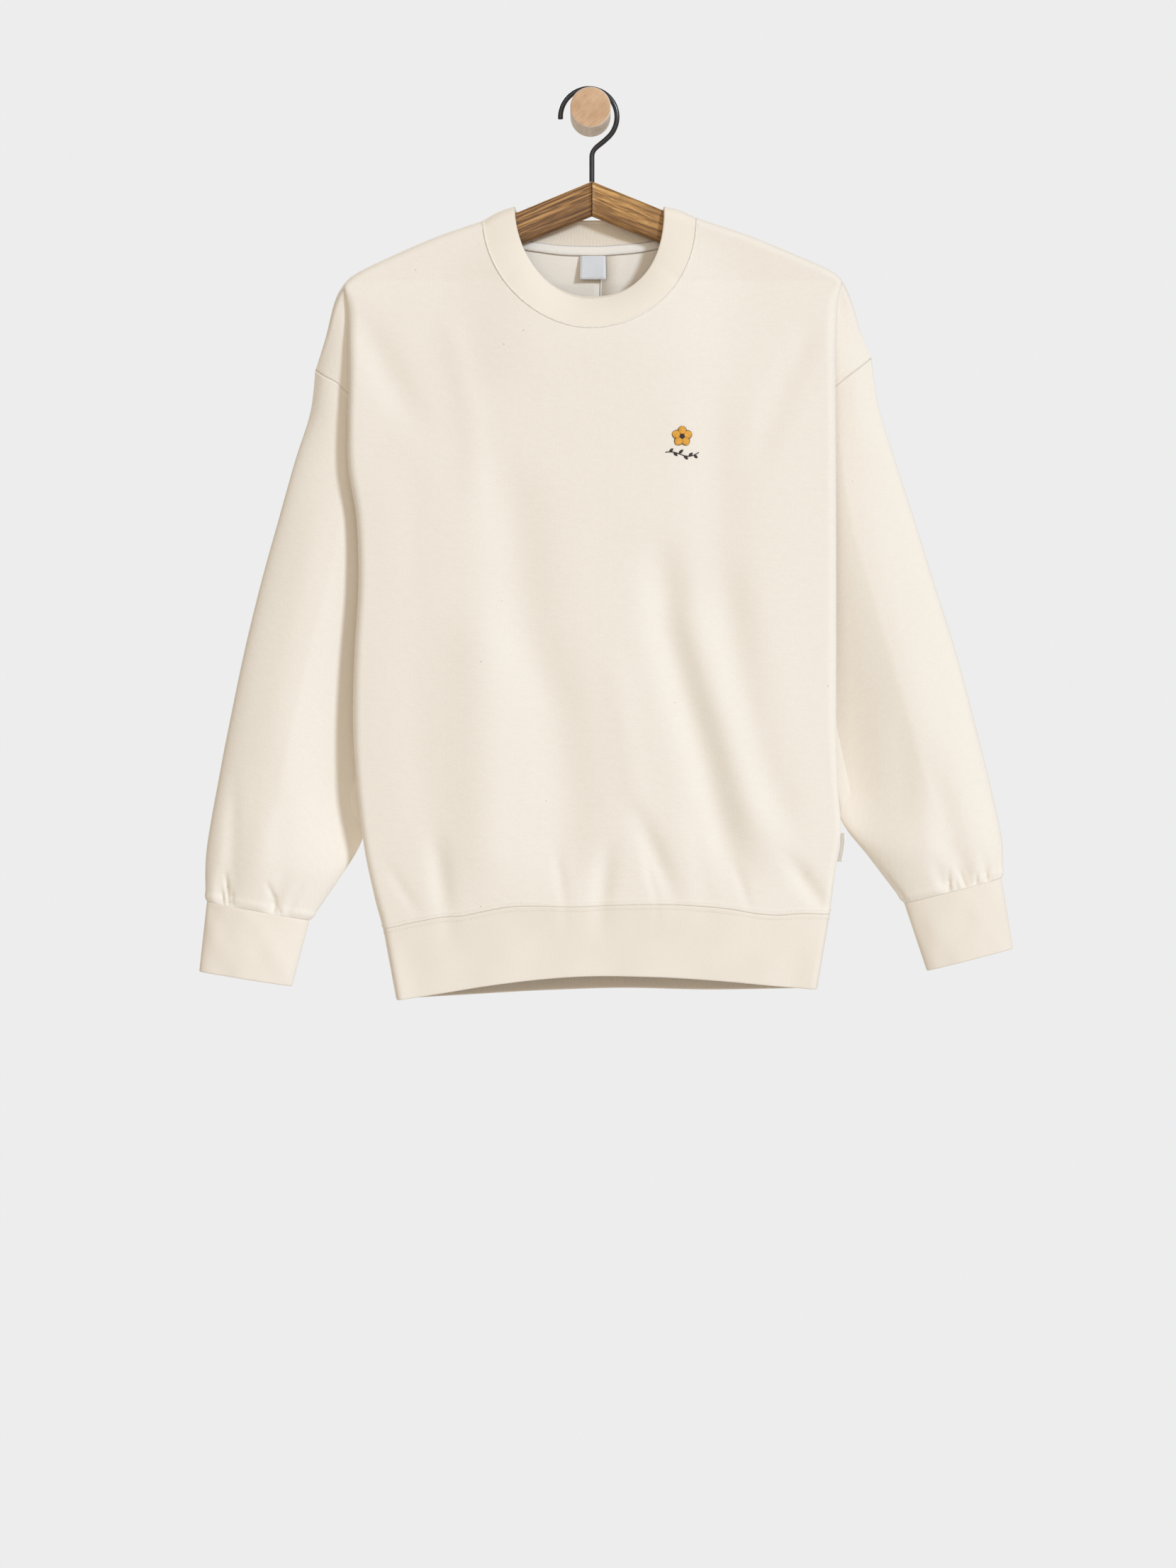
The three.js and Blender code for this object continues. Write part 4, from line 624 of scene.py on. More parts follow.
def shell(name, grid, closed, flip, slot, material, uv, period=0.0, thickness=CLOTH, coarse=(6, 6), hold=None,
          kept=((), ())):
    """A cloth wall: the grid is its outer face, and a coarser grid behind it is the inner one.

    kept lists further rows and columns that the inner face keeps.
    """
    rows, count = grid.shape[:2]
    row_ids = np.unique(np.concatenate([np.arange(0, rows, coarse[0]), [rows - 1], kept[0]])).astype(int)
    last = [] if closed else [count - 1]
    col_ids = np.unique(np.concatenate([np.arange(0, count, coarse[1]), last, kept[1]])).astype(int)
    inner = (grid - normals_of(grid, closed, flip) * thickness)[np.ix_(row_ids, col_ids)]
    if hold is not None:
        inner = hold(inner, row_ids, col_ids)
    base = rows * count
    n_in = len(col_ids)
    faces = quads(rows, count, closed, 0, flip).tolist() + quads(len(row_ids), n_in, closed, base, -flip).tolist()

    def rim(outer_line, inner_line, stops, turned):
        for k in range(len(inner_line) - 1):
            face = outer_line[stops[k]:stops[k + 1] + 1] + [inner_line[k + 1], inner_line[k]]
            faces.append(face[::-1] if turned else face)

    wrap = [0] if closed else []
    columns = list(range(count)) + wrap
    stops = list(col_ids) + ([count] if closed else [])
    for row, row_in, turned in ((0, 0, flip > 0), (rows - 1, len(row_ids) - 1, flip < 0)):
        outer_line = [row * count + c for c in columns]
        rim(outer_line, [base + row_in * n_in + k for k in list(range(n_in)) + wrap], stops, turned)
    if not closed:
        for col, col_in, turned in ((0, 0, flip < 0), (count - 1, n_in - 1, flip > 0)):
            outer_line = [r * count + col for r in range(rows)]
            rim(outer_line, [base + k * n_in + col_in for k in range(len(row_ids))], list(row_ids), turned)
    points = np.concatenate([grid.reshape(-1, 3), inner.reshape(-1, 3)])
    uv_all = np.concatenate([uv.reshape(-1, 2), uv[np.ix_(row_ids, col_ids)].reshape(-1, 2)])
    return build(name, points, faces, slot, material, uv_all, period)


def folded_band(name, grid, flip, slot, material, thickness=RIB, turns=7, uv_row=0):
    """Doubled ribbing as a closed ring: down its outer face, round the fold and up inside."""
    normal = normals_of(grid, True, flip)
    down = grid[-1] - grid[-2]
    down /= np.linalg.norm(down, axis=-1, keepdims=True)
    half = thickness / 2
    centre = grid[-1] - normal[-1] * half
    angles = np.linspace(0, math.pi, turns + 2)[1:]
    bend = [centre + half * (normal[-1] * math.cos(a) + down * math.sin(a)) for a in angles]
    inner = (grid - normal * thickness)[:-1][::-1]
    full = np.concatenate([grid, np.array(bend), inner])
    rows, count = full.shape[:2]
    closing = quads(2, count, True, 0, -flip)
    closing = np.where(closing < count, closing, closing - count + (rows - 1) * count)
    faces = quads(rows, count, True, 0, flip).tolist() + closing.tolist()
    uv, period = band_uv(full, uv_row)
    return build(name, full.reshape(-1, 3), faces, slot, material, uv.reshape(-1, 2), period)


def frames_along(line, normal):
    tangent = np.gradient(line, axis=0)
    tangent /= np.maximum(np.linalg.norm(tangent, axis=-1, keepdims=True), 1e-9)
    side = np.cross(tangent, normal)
    side /= np.maximum(np.linalg.norm(side, axis=-1, keepdims=True), 1e-9)
    up = np.cross(side, tangent)
    return tangent, side, up


def tube(line, normal, wide, high, sides=8, closed=False):
    """Points and faces of a tube with an oval section along a line."""
    if closed:
        ring_line = np.concatenate([line[-2:], line, line[:2]])
        ring_normal = np.concatenate([normal[-2:], normal, normal[:2]])
        _, side, up = (part[2:-2] for part in frames_along(ring_line, ring_normal))
    else:
        _, side, up = frames_along(line, normal)
    angle = np.linspace(0, 2 * math.pi, sides, endpoint=False)
    wide = np.broadcast_to(wide, len(line))[:, None, None]
    high = np.broadcast_to(high, len(line))[:, None, None]
    points = (line[:, None] + side[:, None] * np.cos(angle)[None, :, None] * wide
              + up[:, None] * np.sin(angle)[None, :, None] * high)
    rows = len(line)
    faces = quads(rows, sides, True, 0, -1).tolist()
    if closed:
        last = quads(2, sides, True, 0, -1)
        last = np.where(last < sides, last + (rows - 1) * sides, last - sides)
        faces += last.tolist()
    else:
        faces.append(list(range(sides)))
        faces.append([(rows - 1) * sides + i for i in range(sides)][::-1])
    return points.reshape(-1, 3), faces


def joined(parts):
    points, faces, base = [], [], 0
    for part_points, part_faces in parts:
        points.append(part_points)
        faces += [[i + base for i in face] for face in part_faces]
        base += len(part_points)
    return np.concatenate(points), faces


def resample(line, pitch):
    """Places at an even pitch along a line, as fractions of its rows."""
    far = lengths(line[None], 1)[0]
    count = max(2, int(far[-1] / pitch))
    wanted = (np.arange(count) + 0.5) / count * far[-1]
    return np.interp(wanted, far, np.arange(len(line)))


def pick(values, place):
    low = np.clip(np.floor(place).astype(int), 0, len(values) - 2)
    t = (place - low)[:, None]
    return values[low] * (1 - t) + values[low + 1] * t


STITCH = np.array([(-1, 0, 0), (-0.6, 0.8, 0.6), (-0.6, -0.8, 0.6), (0.6, 0.8, 0.6), (0.6, -0.8, 0.6), (1, 0, 0),
                   (0, 0, 1.0)])
STITCH_FACES = [(0, 2, 1), (1, 2, 6), (1, 6, 3), (2, 4, 6), (6, 4, 3), (3, 4, 5)]


def stitches(line, normal, pitch, length, wide, high, slant=0.0):
    """Short raised stitches along a line, each a small faceted bead."""
    place = resample(line, pitch)
    at = pick(line, place)
    up = pick(normal, place)
    tangent = pick(np.gradient(line, axis=0), place)
    tangent /= np.linalg.norm(tangent, axis=-1, keepdims=True)
    side = np.cross(up, tangent)
    way = (tangent + side * slant) / math.hypot(1, slant)
    points = (at[:, None] + way[:, None] * STITCH[None, :, :1] * length / 2
              + side[:, None] * STITCH[None, :, 1:2] * wide / 2 + up[:, None] * STITCH[None, :, 2:] * high)
    count = len(STITCH)
    faces = [[k * count + i for i in face] for k in range(len(at)) for face in STITCH_FACES]
    return points.reshape(-1, 3), faces


# Materials
def colour(red, green, blue):
    """An sRGB colour from 0 to 255 as Blender's linear one."""
    values = [c / 255 for c in (red, green, blue)]
    return [c / 12.92 if c <= 0.04045 else ((c + 0.055) / 1.055) ** 2.4 for c in values] + [1.0]


class Material:
    """A Principled material with short calls for its nodes and links."""

    def __init__(self, name, roughness, sheen=0.0, specular=0.5, metallic=0.0):
        self.material = bpy.data.materials.new(name)
        self.material.use_nodes = True
        self.tree = self.material.node_tree
        self.shader = self.tree.nodes["Principled BSDF"]
        self.shader.inputs["Roughness"].default_value = roughness
        self.shader.inputs["Specular IOR Level"].default_value = specular
        self.shader.inputs["Metallic"].default_value = metallic
        if sheen:
            self.shader.inputs["Sheen Weight"].default_value = sheen
            self.shader.inputs["Sheen Roughness"].default_value = 0.5

    def node(self, kind, **values):
        node = self.tree.nodes.new(kind)
        for key, value in values.items():
            if isinstance(value, bpy.types.NodeSocket):
                self.tree.links.new(value, node.inputs[key])
            elif key in node.inputs:
                node.inputs[key].default_value = value
            else:
                setattr(node, key, value)
        return node

    def scaled(self, source, scale):
        node = self.node("ShaderNodeMapping", Vector=source)
        node.inputs["Scale"].default_value = scale
        return node.outputs[0]

    def uv(self):
        return self.node("ShaderNodeTexCoord").outputs["UV"]

    def place(self):
        return self.node("ShaderNodeTexCoord").outputs["Object"]

    def noise(self, vector, scale, detail=2.0, roughness=0.5):
        return self.node("ShaderNodeTexNoise", Vector=vector, Scale=scale, Detail=detail, Roughness=roughness).outputs[0]

    def maths(self, operation, a, b=0.0, clamp=False):
        node = self.node("ShaderNodeMath", operation=operation, use_clamp=clamp)
        for socket, value in zip(node.inputs, (a, b)):
            if isinstance(value, bpy.types.NodeSocket):
                self.tree.links.new(value, socket)
            else:
                socket.default_value = value
        return node.outputs[0]

    def ramp(self, fac, stops):
        node = self.node("ShaderNodeValToRGB", Fac=fac)
        points = node.color_ramp.elements
        while len(points) < len(stops):
            points.new(0.5)
        for point, (place, value) in zip(points, stops):
            point.position = place
            point.color = value
        return node.outputs[0]

    def blend(self, fac, a, b):
        node = self.node("ShaderNodeMix", data_type="RGBA")
        for index, value in ((0, fac), (6, a), (7, b)):
            if isinstance(value, bpy.types.NodeSocket):
                self.tree.links.new(value, node.inputs[index])
            else:
                node.inputs[index].default_value = value
        return node.outputs[2]

    def finish(self, base, height=None, distance=0.001, strength=1.0):
        self.tree.links.new(base, self.shader.inputs["Base Color"])
        if height is not None:
            bump = self.node("ShaderNodeBump", Height=height, Distance=distance, Strength=strength)
            self.tree.links.new(bump.outputs[0], self.shader.inputs["Normal"])
        return self.material


def fleece_material(name, light, deep):
    """Fine jersey: wales and courses 1 mm apart, a brushed fuzz, and a few dark neps."""
    m = Material(name, 0.95, sheen=0.25, specular=0.2)
    uv = m.uv()
    wales = m.node("ShaderNodeTexWave", Vector=uv, Scale=350, Distortion=2.5, Detail=2).outputs[1]
    courses = m.node("ShaderNodeTexWave", Vector=uv, Scale=420, Distortion=2.5, Detail=2, bands_direction="Y").outputs[1]
    fuzz = m.noise(uv, 700, 3)
    lumps = m.noise(m.scaled(uv, (0.7, 1.3, 1)), 170, 2)
    height = m.maths("ADD", m.maths("MULTIPLY", wales, 0.11), m.maths("MULTIPLY", courses, 0.05))
    height = m.maths("ADD", height, m.maths("MULTIPLY", fuzz, 0.55))
    height = m.maths("ADD", height, m.maths("MULTIPLY", lumps, 0.7))
    shade = m.maths("ADD", m.maths("MULTIPLY", lumps, 0.35), m.maths("MULTIPLY", fuzz, 0.65))
    base = m.ramp(shade, [(0.25, deep), (0.75, light)])
    cells = m.node("ShaderNodeTexVoronoi", Vector=uv, Scale=55)
    speck = m.maths("LESS_THAN", cells.outputs["Distance"], 0.035)
    rare = m.maths("GREATER_THAN", m.node("ShaderNodeSeparateColor", Color=cells.outputs["Color"]).outputs[0], 0.82)
    base = m.blend(m.maths("MULTIPLY", m.maths("MULTIPLY", speck, rare), 0.45), base, colour(150, 125, 95))
    return m.finish(base, height, 0.0006, 0.42)


def rib_material(name, light, deep, furrow_shade, pitch, outer):
    """Rib knit: faint ribs on the outer face, whose length is outer, and deep ones inside, whose furrows are darkened
    in colour as painted shade.
    """
    m = Material(name, 0.95, sheen=0.25, specular=0.2)
    uv = m.uv()
    ribs = m.node("ShaderNodeTexWave", Vector=uv, Scale=2 * math.pi / pitch / 20, Distortion=0.4,
                  Detail=1).outputs[1]
    courses = m.node("ShaderNodeTexWave", Vector=uv, Scale=420, Distortion=3, Detail=2,
                     bands_direction="Y").outputs[1]
    inside = m.maths("LESS_THAN", m.node("ShaderNodeSeparateXYZ", Vector=uv).outputs[1], -outer)
    depth = m.maths("ADD", m.maths("MULTIPLY", inside, 0.85), 0.15)
    fuzz = m.noise(uv, 900, 3)
    height = m.maths("ADD", m.maths("MULTIPLY", ribs, depth), m.maths("MULTIPLY", fuzz, 0.3))
    height = m.maths("ADD", height, m.maths("MULTIPLY", courses, 0.06))
    shade = m.maths("ADD", m.maths("MULTIPLY", m.noise(m.place(), 20, 2), 0.5), m.maths("MULTIPLY", fuzz, 0.5))
    base = m.ramp(shade, [(0.25, deep), (0.75, light)])
    # painted shade: the furrows between the inside ribs take the darker furrow colour
    low = m.maths("MULTIPLY", m.maths("SUBTRACT", 1.0, ribs), m.maths("MULTIPLY", inside, 0.75))
    return m.finish(m.blend(low, base, furrow_shade), height, 0.0006, 0.4)


def woven_material(name, light, deep, pitch, roughness, border=None):
    """Plain weave; border is the half width, the length and the colour of a woven edge."""
    m = Material(name, roughness, sheen=0.1, specular=0.3)
    uv = m.uv()
    scale = 2 * math.pi / pitch / 20
    warp = m.node("ShaderNodeTexWave", Vector=uv, Scale=scale).outputs[1]
    weft = m.node("ShaderNodeTexWave", Vector=uv, Scale=scale, bands_direction="Y").outputs[1]
    weave = m.maths("MULTIPLY", warp, weft)
    base = m.ramp(m.maths("ADD", m.maths("MULTIPLY", weave, 0.5), m.maths("MULTIPLY", m.noise(uv, 400), 0.5)),
                  [(0.2, deep), (0.7, light)])
    if border:
        half, long, edge = border
        split = m.node("ShaderNodeSeparateXYZ", Vector=uv)
        beside = m.maths("GREATER_THAN", m.maths("ABSOLUTE", split.outputs[0]), half - 0.0009)
        above = m.maths("GREATER_THAN", split.outputs[1], -0.0009)
        below = m.maths("LESS_THAN", split.outputs[1], 0.0009 - long)
        base = m.blend(m.maths("MAXIMUM", beside, m.maths("MAXIMUM", above, below)), base, edge)
    return m.finish(base, weave, 0.0003, 0.5)


def thread_material(name, light, deep, pitch=0.0004):
    """Twisted thread, slightly glossy."""
    m = Material(name, 0.45, sheen=0.2, specular=0.5)
    place = m.place()
    twist = m.node("ShaderNodeTexWave", Vector=place, Scale=2 * math.pi / pitch / 20, Distortion=1.5,
                   bands_direction="DIAGONAL").outputs[1]
    base = m.ramp(m.maths("ADD", m.maths("MULTIPLY", twist, 0.4), m.maths("MULTIPLY", m.noise(place, 300), 0.6)),
                  [(0.25, deep), (0.75, light)])
    return m.finish(base, twist, 0.0002, 0.5)


def wood_material(name, light, mid, dark, stretch, figure, blocks):
    """Grain along U; figure bends it, blocks are darker jointed pieces, and the low edge is darkened as painted shade.
    """
    m = Material(name, 0.5, specular=0.4)
    m.shader.inputs["Coat Weight"].default_value = 0.12
    m.shader.inputs["Coat Roughness"].default_value = 0.4
    uv = m.uv()
    wander = m.noise(m.scaled(uv, (12, 40, 1)), 1.0, 2)
    bent = m.node("ShaderNodeVectorMath", operation="ADD")
    m.tree.links.new(uv, bent.inputs[0])
    shift = m.node("ShaderNodeCombineXYZ", Y=m.maths("MULTIPLY", wander, figure))
    m.tree.links.new(shift.outputs[0], bent.inputs[1])
    fine = m.noise(m.scaled(bent.outputs[0], stretch), 1.0, 4, 0.65)
    pores = m.noise(m.scaled(bent.outputs[0], (45, 2200, 1)), 1.0, 3, 0.7)
    bands = m.noise(m.scaled(bent.outputs[0], (8, 260, 1)), 1.0, 3, 0.6)
    shade = m.maths("ADD", m.maths("MULTIPLY", fine, 0.5), m.maths("MULTIPLY", bands, 0.35))
    shade = m.maths("ADD", shade, m.maths("MULTIPLY", pores, 0.3))
    base = m.ramp(shade, [(0.49, dark), (0.57, mid), (0.65, light)])
    cracks = m.maths("LESS_THAN", m.maths("ABSOLUTE", m.maths("SUBTRACT", bands, 0.5)), 0.02)
    base = m.blend(m.maths("MULTIPLY", cracks, 0.55), base, dark)
    across = m.node("ShaderNodeSeparateXYZ", Vector=uv).outputs[1]
    # painted shade: the arm darkens towards its bottom edge, away from the light above
    shaded_low_edge = m.node("ShaderNodeMapRange", Value=across)
    for key, value in (("From Min", -0.019), ("From Max", -0.027), ("To Min", 0.0), ("To Max", 0.5)):
        shaded_low_edge.inputs[key].default_value = value
    base = m.blend(shaded_low_edge.outputs[0], base, dark)
    if blocks:
        patch = m.node("ShaderNodeTexVoronoi", Vector=m.scaled(uv, (22, 140, 1)), Scale=1.0, distance="CHEBYCHEV")
        tone = m.node("ShaderNodeSeparateColor", Color=patch.outputs["Color"]).outputs[0]
        base = m.blend(m.maths("MULTIPLY", m.maths("GREATER_THAN", tone, 0.62), blocks), base, dark)
    along_arm = m.node("ShaderNodeSeparateXYZ", Vector=uv).outputs[0]
    base = m.blend(m.maths("LESS_THAN", along_arm, 0.0004), base, colour(60, 40, 24))
    return m.finish(base, m.maths("ADD", pores, fine), 0.0003, 0.35)


def peg_material():
    """Beech: long grain on the side, and a cut end with fine scratches."""
    m = Material("beech_wood", 0.55, specular=0.35)
    place = m.place()
    grain = m.noise(m.scaled(place, (500, 14, 500)), 1.0, 3)
    turned = m.node("ShaderNodeMapping", Vector=place)
    turned.inputs["Rotation"].default_value = (0, math.radians(45), 0)
    scratches = m.noise(m.scaled(turned.outputs[0], (110, 90, 1900)), 1.0, 3, 0.7)
    ring = m.noise(place, 60, 2)
    side = m.ramp(grain, [(0.3, colour(222, 205, 186)), (0.7, colour(236, 222, 206))])
    end = m.ramp(m.maths("ADD", m.maths("MULTIPLY", scratches, 0.6), m.maths("MULTIPLY", ring, 0.4)),
                 [(0.34, colour(186, 142, 104)), (0.5, colour(208, 168, 130)), (0.68, colour(222, 187, 151))])
    facing = m.node("ShaderNodeSeparateXYZ", Vector=m.node("ShaderNodeNewGeometry").outputs["Normal"]).outputs[1]
    base = m.blend(m.maths("LESS_THAN", facing, -0.85), side, end)
    return m.finish(base, scratches, 0.0003, 0.4)


def hook_material():
    """Glossy black wire with faint marks."""
    m = Material("black_wire", 0.3, specular=0.5)
    m.shader.inputs["Coat Weight"].default_value = 0.3
    m.shader.inputs["Coat Roughness"].default_value = 0.2
    marks = m.noise(m.place(), 260, 3)
    base = m.ramp(marks, [(0.3, colour(16, 16, 19)), (0.8, colour(34, 34, 40))])
    return m.finish(base, marks, 0.0001, 0.08)


FLEECE = fleece_material("cream_fleece", colour(242, 232, 217), colour(236, 226, 210))
RIB_KNIT = rib_material("cream_rib", colour(240, 229, 213), colour(232, 220, 203), colour(218, 201, 178),
                        0.00115, 0.066)
# painted light: the collar's rib is a lighter copy of the cream rib, lifting the shade that falls inside the neck
COLLAR_KNIT_LIGHTENED = rib_material("collar_rib_knit", colour(244, 233, 216), colour(237, 225, 207),
                           colour(218, 200, 174), 0.00115, 0.0285)
TAPE = woven_material("cream_tape", colour(248, 241, 230), colour(240, 232, 219), 0.0009, 0.85)
TAB = woven_material("white_tab", colour(252, 251, 248), colour(243, 241, 236), 0.0006, 0.75)
LABEL = woven_material("grey_satin", colour(228, 228, 227), colour(216, 217, 217), 0.0005, 0.55,
                       (0.0108, 0.0208, colour(240, 239, 236)))
SEWING = thread_material("cream_thread", colour(250, 245, 234), colour(232, 224, 208))
# painted shade: the tape's stitch thread is darker than the tape, standing in for the shade in the stitch holes
TAPE_SEWING_SHADED = thread_material("tape_thread", colour(233, 222, 203), colour(214, 201, 180))
AMBER = thread_material("amber_thread_silk", colour(244, 186, 66), colour(222, 150, 40))
DARK = thread_material("dark_thread_silk", colour(58, 46, 38), colour(28, 23, 21))
# the two arms' oaks differ in grain and figure, and the darker tone of the arm on -X is partly painted shade
OAK_LEFT = wood_material("oak_golden", colour(214, 164, 94), colour(176, 127, 67), colour(108, 70, 32),
                         (34, 420, 1), 0.009, 0.3)
OAK_RIGHT_SHADED = wood_material("oak_brown_shaded", colour(190, 142, 84), colour(152, 106, 57), colour(90, 58, 27),
                          (18, 520, 1), 0.0015, 0)
BEECH = peg_material()
BLACK = hook_material()


# Front and back panels
def levels_of(count):
    top = RIDGE_SPAN * (1 - np.cos(np.linspace(0, 1, 13) * math.pi / 2))
    return np.concatenate([top, np.linspace(RIDGE_SPAN, 1, count)[1:]])


def side_steps(count):
    return np.linspace(0, 1, count + 1)


def half_field(strip):
    """Shares from the fold to the middle: close at the fold and where the neck starts."""
    fold = 0.026 * (1 - np.cos(np.linspace(0, 1, 9) * math.pi / 2))
    shoulder = np.linspace(0.026, NECK_SHARE, strip + 1)[1:]
    corner = np.radians([0.5, 1.0, 1.6, 2.4, 3.4, 4.6, 6.0, 7.6, 9.4])
    neck = np.concatenate([corner, np.radians(np.linspace(11, 90, 50))])
    return np.concatenate([fold, shoulder, mix(NECK_SHARE, 1 - NECK_SHARE, neck / math.pi)])


FINE_HALF = half_field(44)
FIELD_SHARES = np.concatenate([FINE_HALF, (1 - FINE_HALF[:-1])[::-1]])
LEVEL_ROWS = levels_of(270)
STRIP_STEPS = side_steps(26)
HIDDEN_STRIPS = {"right": STRIP_STEPS[::-1][:-1], "left": STRIP_STEPS[1:]}


def held_inside(panel, grid):
    """No inner point crosses the ridge's plane, and by the neck's corners the wall is thin."""
    side_of_ridge = np.minimum if panel["sign"] < 0 else np.maximum

    def hold(inner, row_ids, col_ids):
        outer = grid[np.ix_(row_ids, col_ids)]
        behind = outer - np.array([0, panel["sign"] * 0.7, 0])
        for rows in SHOULDER.values():
            gap = np.hypot(outer[..., 0] - rows["x"][0], outer[..., 2] - rows["z"][0])
            inner = mix(behind, inner, smooth((gap - 25) / 15)[..., None])
        near = LEVEL_ROWS[row_ids] < 0.12
        inner[near, :, 1] = side_of_ridge(inner[near][..., 1], RIDGE_Y)
        return inner
    return hold


def seam_dip(grid, normal, distance, depth, span, at=0.0):
    """Cloth drawn in beside a seam, or raised where depth is negative."""
    return grid - normal * (depth * np.exp(-((distance - at) / span) ** 2))[..., None]


def panel_piece(name, panel, zones):
    grid = panel_grid(panel, zones, LEVEL_ROWS)
    flip = 1 if panel["sign"] > 0 else -1
    normal = normals_of(grid, False, flip)
    below = lengths(grid, 0)
    grid = seam_dip(grid, normal, below[-1:] - below, -0.55, 1.7, 2.4)
    across = lengths(grid, 1)
    ends = [across - across[:, :1]] if zones[0][0] == "right" else []
    ends += [across[:, -1:] - across] if zones[-1][0] == "left" else []
    for distance in ends:
        grid = seam_dip(grid, normal, distance, -0.3, 0.9, 1.4)
    uv = panel_uv(grid, zones)
    to_corner = [np.hypot(grid[0, :, 0] - rows["x"][0], grid[0, :, 2] - rows["z"][0]) for rows in SHOULDER.values()]
    kept = (np.arange(32), np.flatnonzero(np.min(to_corner, 0) < 42))
    piece = shell(name, grid, False, flip, "fleece", FLEECE, uv, hold=held_inside(panel, grid), kept=kept)
    return piece, grid


front, front_grid = panel_piece("front_cloth", FRONT, [
    ("right", HIDDEN_STRIPS["right"]), ("field", FIELD_SHARES), ("left", HIDDEN_STRIPS["left"])])
to_seam = FIELD_SHARES[FIELD_SHARES < CENTRE_SEAM - 0.002]
from_seam = FIELD_SHARES[FIELD_SHARES > CENTRE_SEAM + 0.002]
back_right, back_right_grid = panel_piece("back_right_cloth", BACK, [
    ("right", HIDDEN_STRIPS["right"]), ("field", np.append(to_seam, CENTRE_SEAM))])
back_left, back_left_grid = panel_piece("back_left_cloth", BACK, [
    ("field", np.append(CENTRE_SEAM, from_seam)), ("left", HIDDEN_STRIPS["left"])])
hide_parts("front")
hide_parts("back_right")
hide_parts("back_left")


# Sleeves and cuffs
SLEEVE_TURNS = np.arange(168) / 168
SLEEVE_SHARES = np.concatenate([np.linspace(0, 0.9, 150)[:-1], np.linspace(0.9, 1, 44)])
CUFF_TURNS = np.arange(216) / 216
sleeves, cuffs = {}, {}
for side, flip in (("left", 1), ("right", -1)):
    grid = sleeve_points(side, SLEEVE_SHARES[:, None], SLEEVE_TURNS[None])
    normal = normals_of(grid, True, flip)
    far = lengths(grid, 0)
    grid = seam_dip(grid, normal, far, -0.3, 0.9, 1.4)
    grid = seam_dip(grid, normal, far[-1:] - far, -0.7, 3.0, 4.5)
    inside_cuff = cuff_points(side, 0.0, SLEEVE_TURNS) - normal[-1] * 0.25
    grid = mix(grid, inside_cuff, smooth((SLEEVE_SHARES - 0.989) / 0.011)[:, None, None])
    uv, period = band_uv(grid, 90)
    sleeves[side] = shell(f"sleeve_{side}_cloth", grid, True, flip, "fleece", FLEECE, uv, period)
    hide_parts(f"sleeve_{side}")

    steps = np.concatenate([np.linspace(0, 0.12, 6)[:-1], np.linspace(0.12, 1, 26)])
    grid = cuff_points(side, steps[:, None], CUFF_TURNS[None])
    normal = normals_of(grid, True, flip)
    grid = seam_dip(grid, normal, lengths(grid, 0), 0.15, 0.8)
    cuffs[side] = folded_band(f"cuff_{side}_knit", grid, flip, "ribbing", RIB_KNIT)
    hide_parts(f"cuff_{side}")


# Hem rib and collar
hem_steps = np.concatenate([np.linspace(0, 0.1, 6)[:-1], np.linspace(0.1, 1, 28)])
back_rim = np.concatenate([back_right_grid[-1][1:], back_left_grid[-1][1:-1]])[::-1]
hem_grid = np.concatenate([hem_points(FRONT, front_grid[-1], hem_steps), hem_points(BACK, back_rim, hem_steps)], 1)
hem_normal = normals_of(hem_grid, True, -1)
hem_grid = seam_dip(hem_grid, hem_normal, lengths(hem_grid, 0), -0.3, 0.9, 1.5)
hem = folded_band("hem_knit", hem_grid, -1, "ribbing", RIB_KNIT)
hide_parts("hem_rib")

corner_angles = np.radians([0, 0.5, 1.0, 1.6, 2.4, 3.4, 4.6, 6.0, 7.6, 9.4])
front_half = np.concatenate([corner_angles, np.radians(np.linspace(11, 90, 70))])
half_ring = np.concatenate([front_half, math.pi - front_half[:-1][::-1]])
collar_angles = np.concatenate([half_ring, math.pi + half_ring[1:-1]])
collar_steps = np.concatenate([np.linspace(0, 0.1, 4)[:-1], np.linspace(0.1, 1, 16)])
collar_ring = collar_grid(collar_angles, collar_steps)
collar = folded_band("collar_knit", collar_ring, 1, "ribbing", COLLAR_KNIT_LIGHTENED, uv_row=9)
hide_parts("collar_rib")


# Raised cord of the neck seam, on both panels
def neck_line(panel, angles):
    x, z, y, _ = top_edge(panel, mix(NECK_SHARE, 1 - NECK_SHARE, angles / math.pi))
    return np.stack([x, y, z], -1)


front_line = neck_line(FRONT, half_ring)
back_line = neck_line(BACK, half_ring)[::-1]
cord_line = np.concatenate([front_line, back_line[1:-1]])
cord_normal = normals_of(collar_ring, True, 1)[2]
cord_line = cord_line + cord_normal * 0.25
cord = build("neck_seam_cord", *tube(cord_line, cord_normal, 0.75, 0.65, 8, True), "fleece", SEWING)


# Tape, labels and the back's centre seam
def on_back_neck(x, drop):
    shares = np.linspace(NECK_SHARE, 1 - NECK_SHARE, 801)
    share = np.interp(x, top_edge(BACK, shares)[0], shares)
    top = field_points(BACK, share, np.array(0.0), False)
    under = field_points(BACK, share, np.array(RIDGE_SPAN), False)
    far = np.linalg.norm(under - top, axis=-1, keepdims=True)
    return mix(top, under, drop / far)


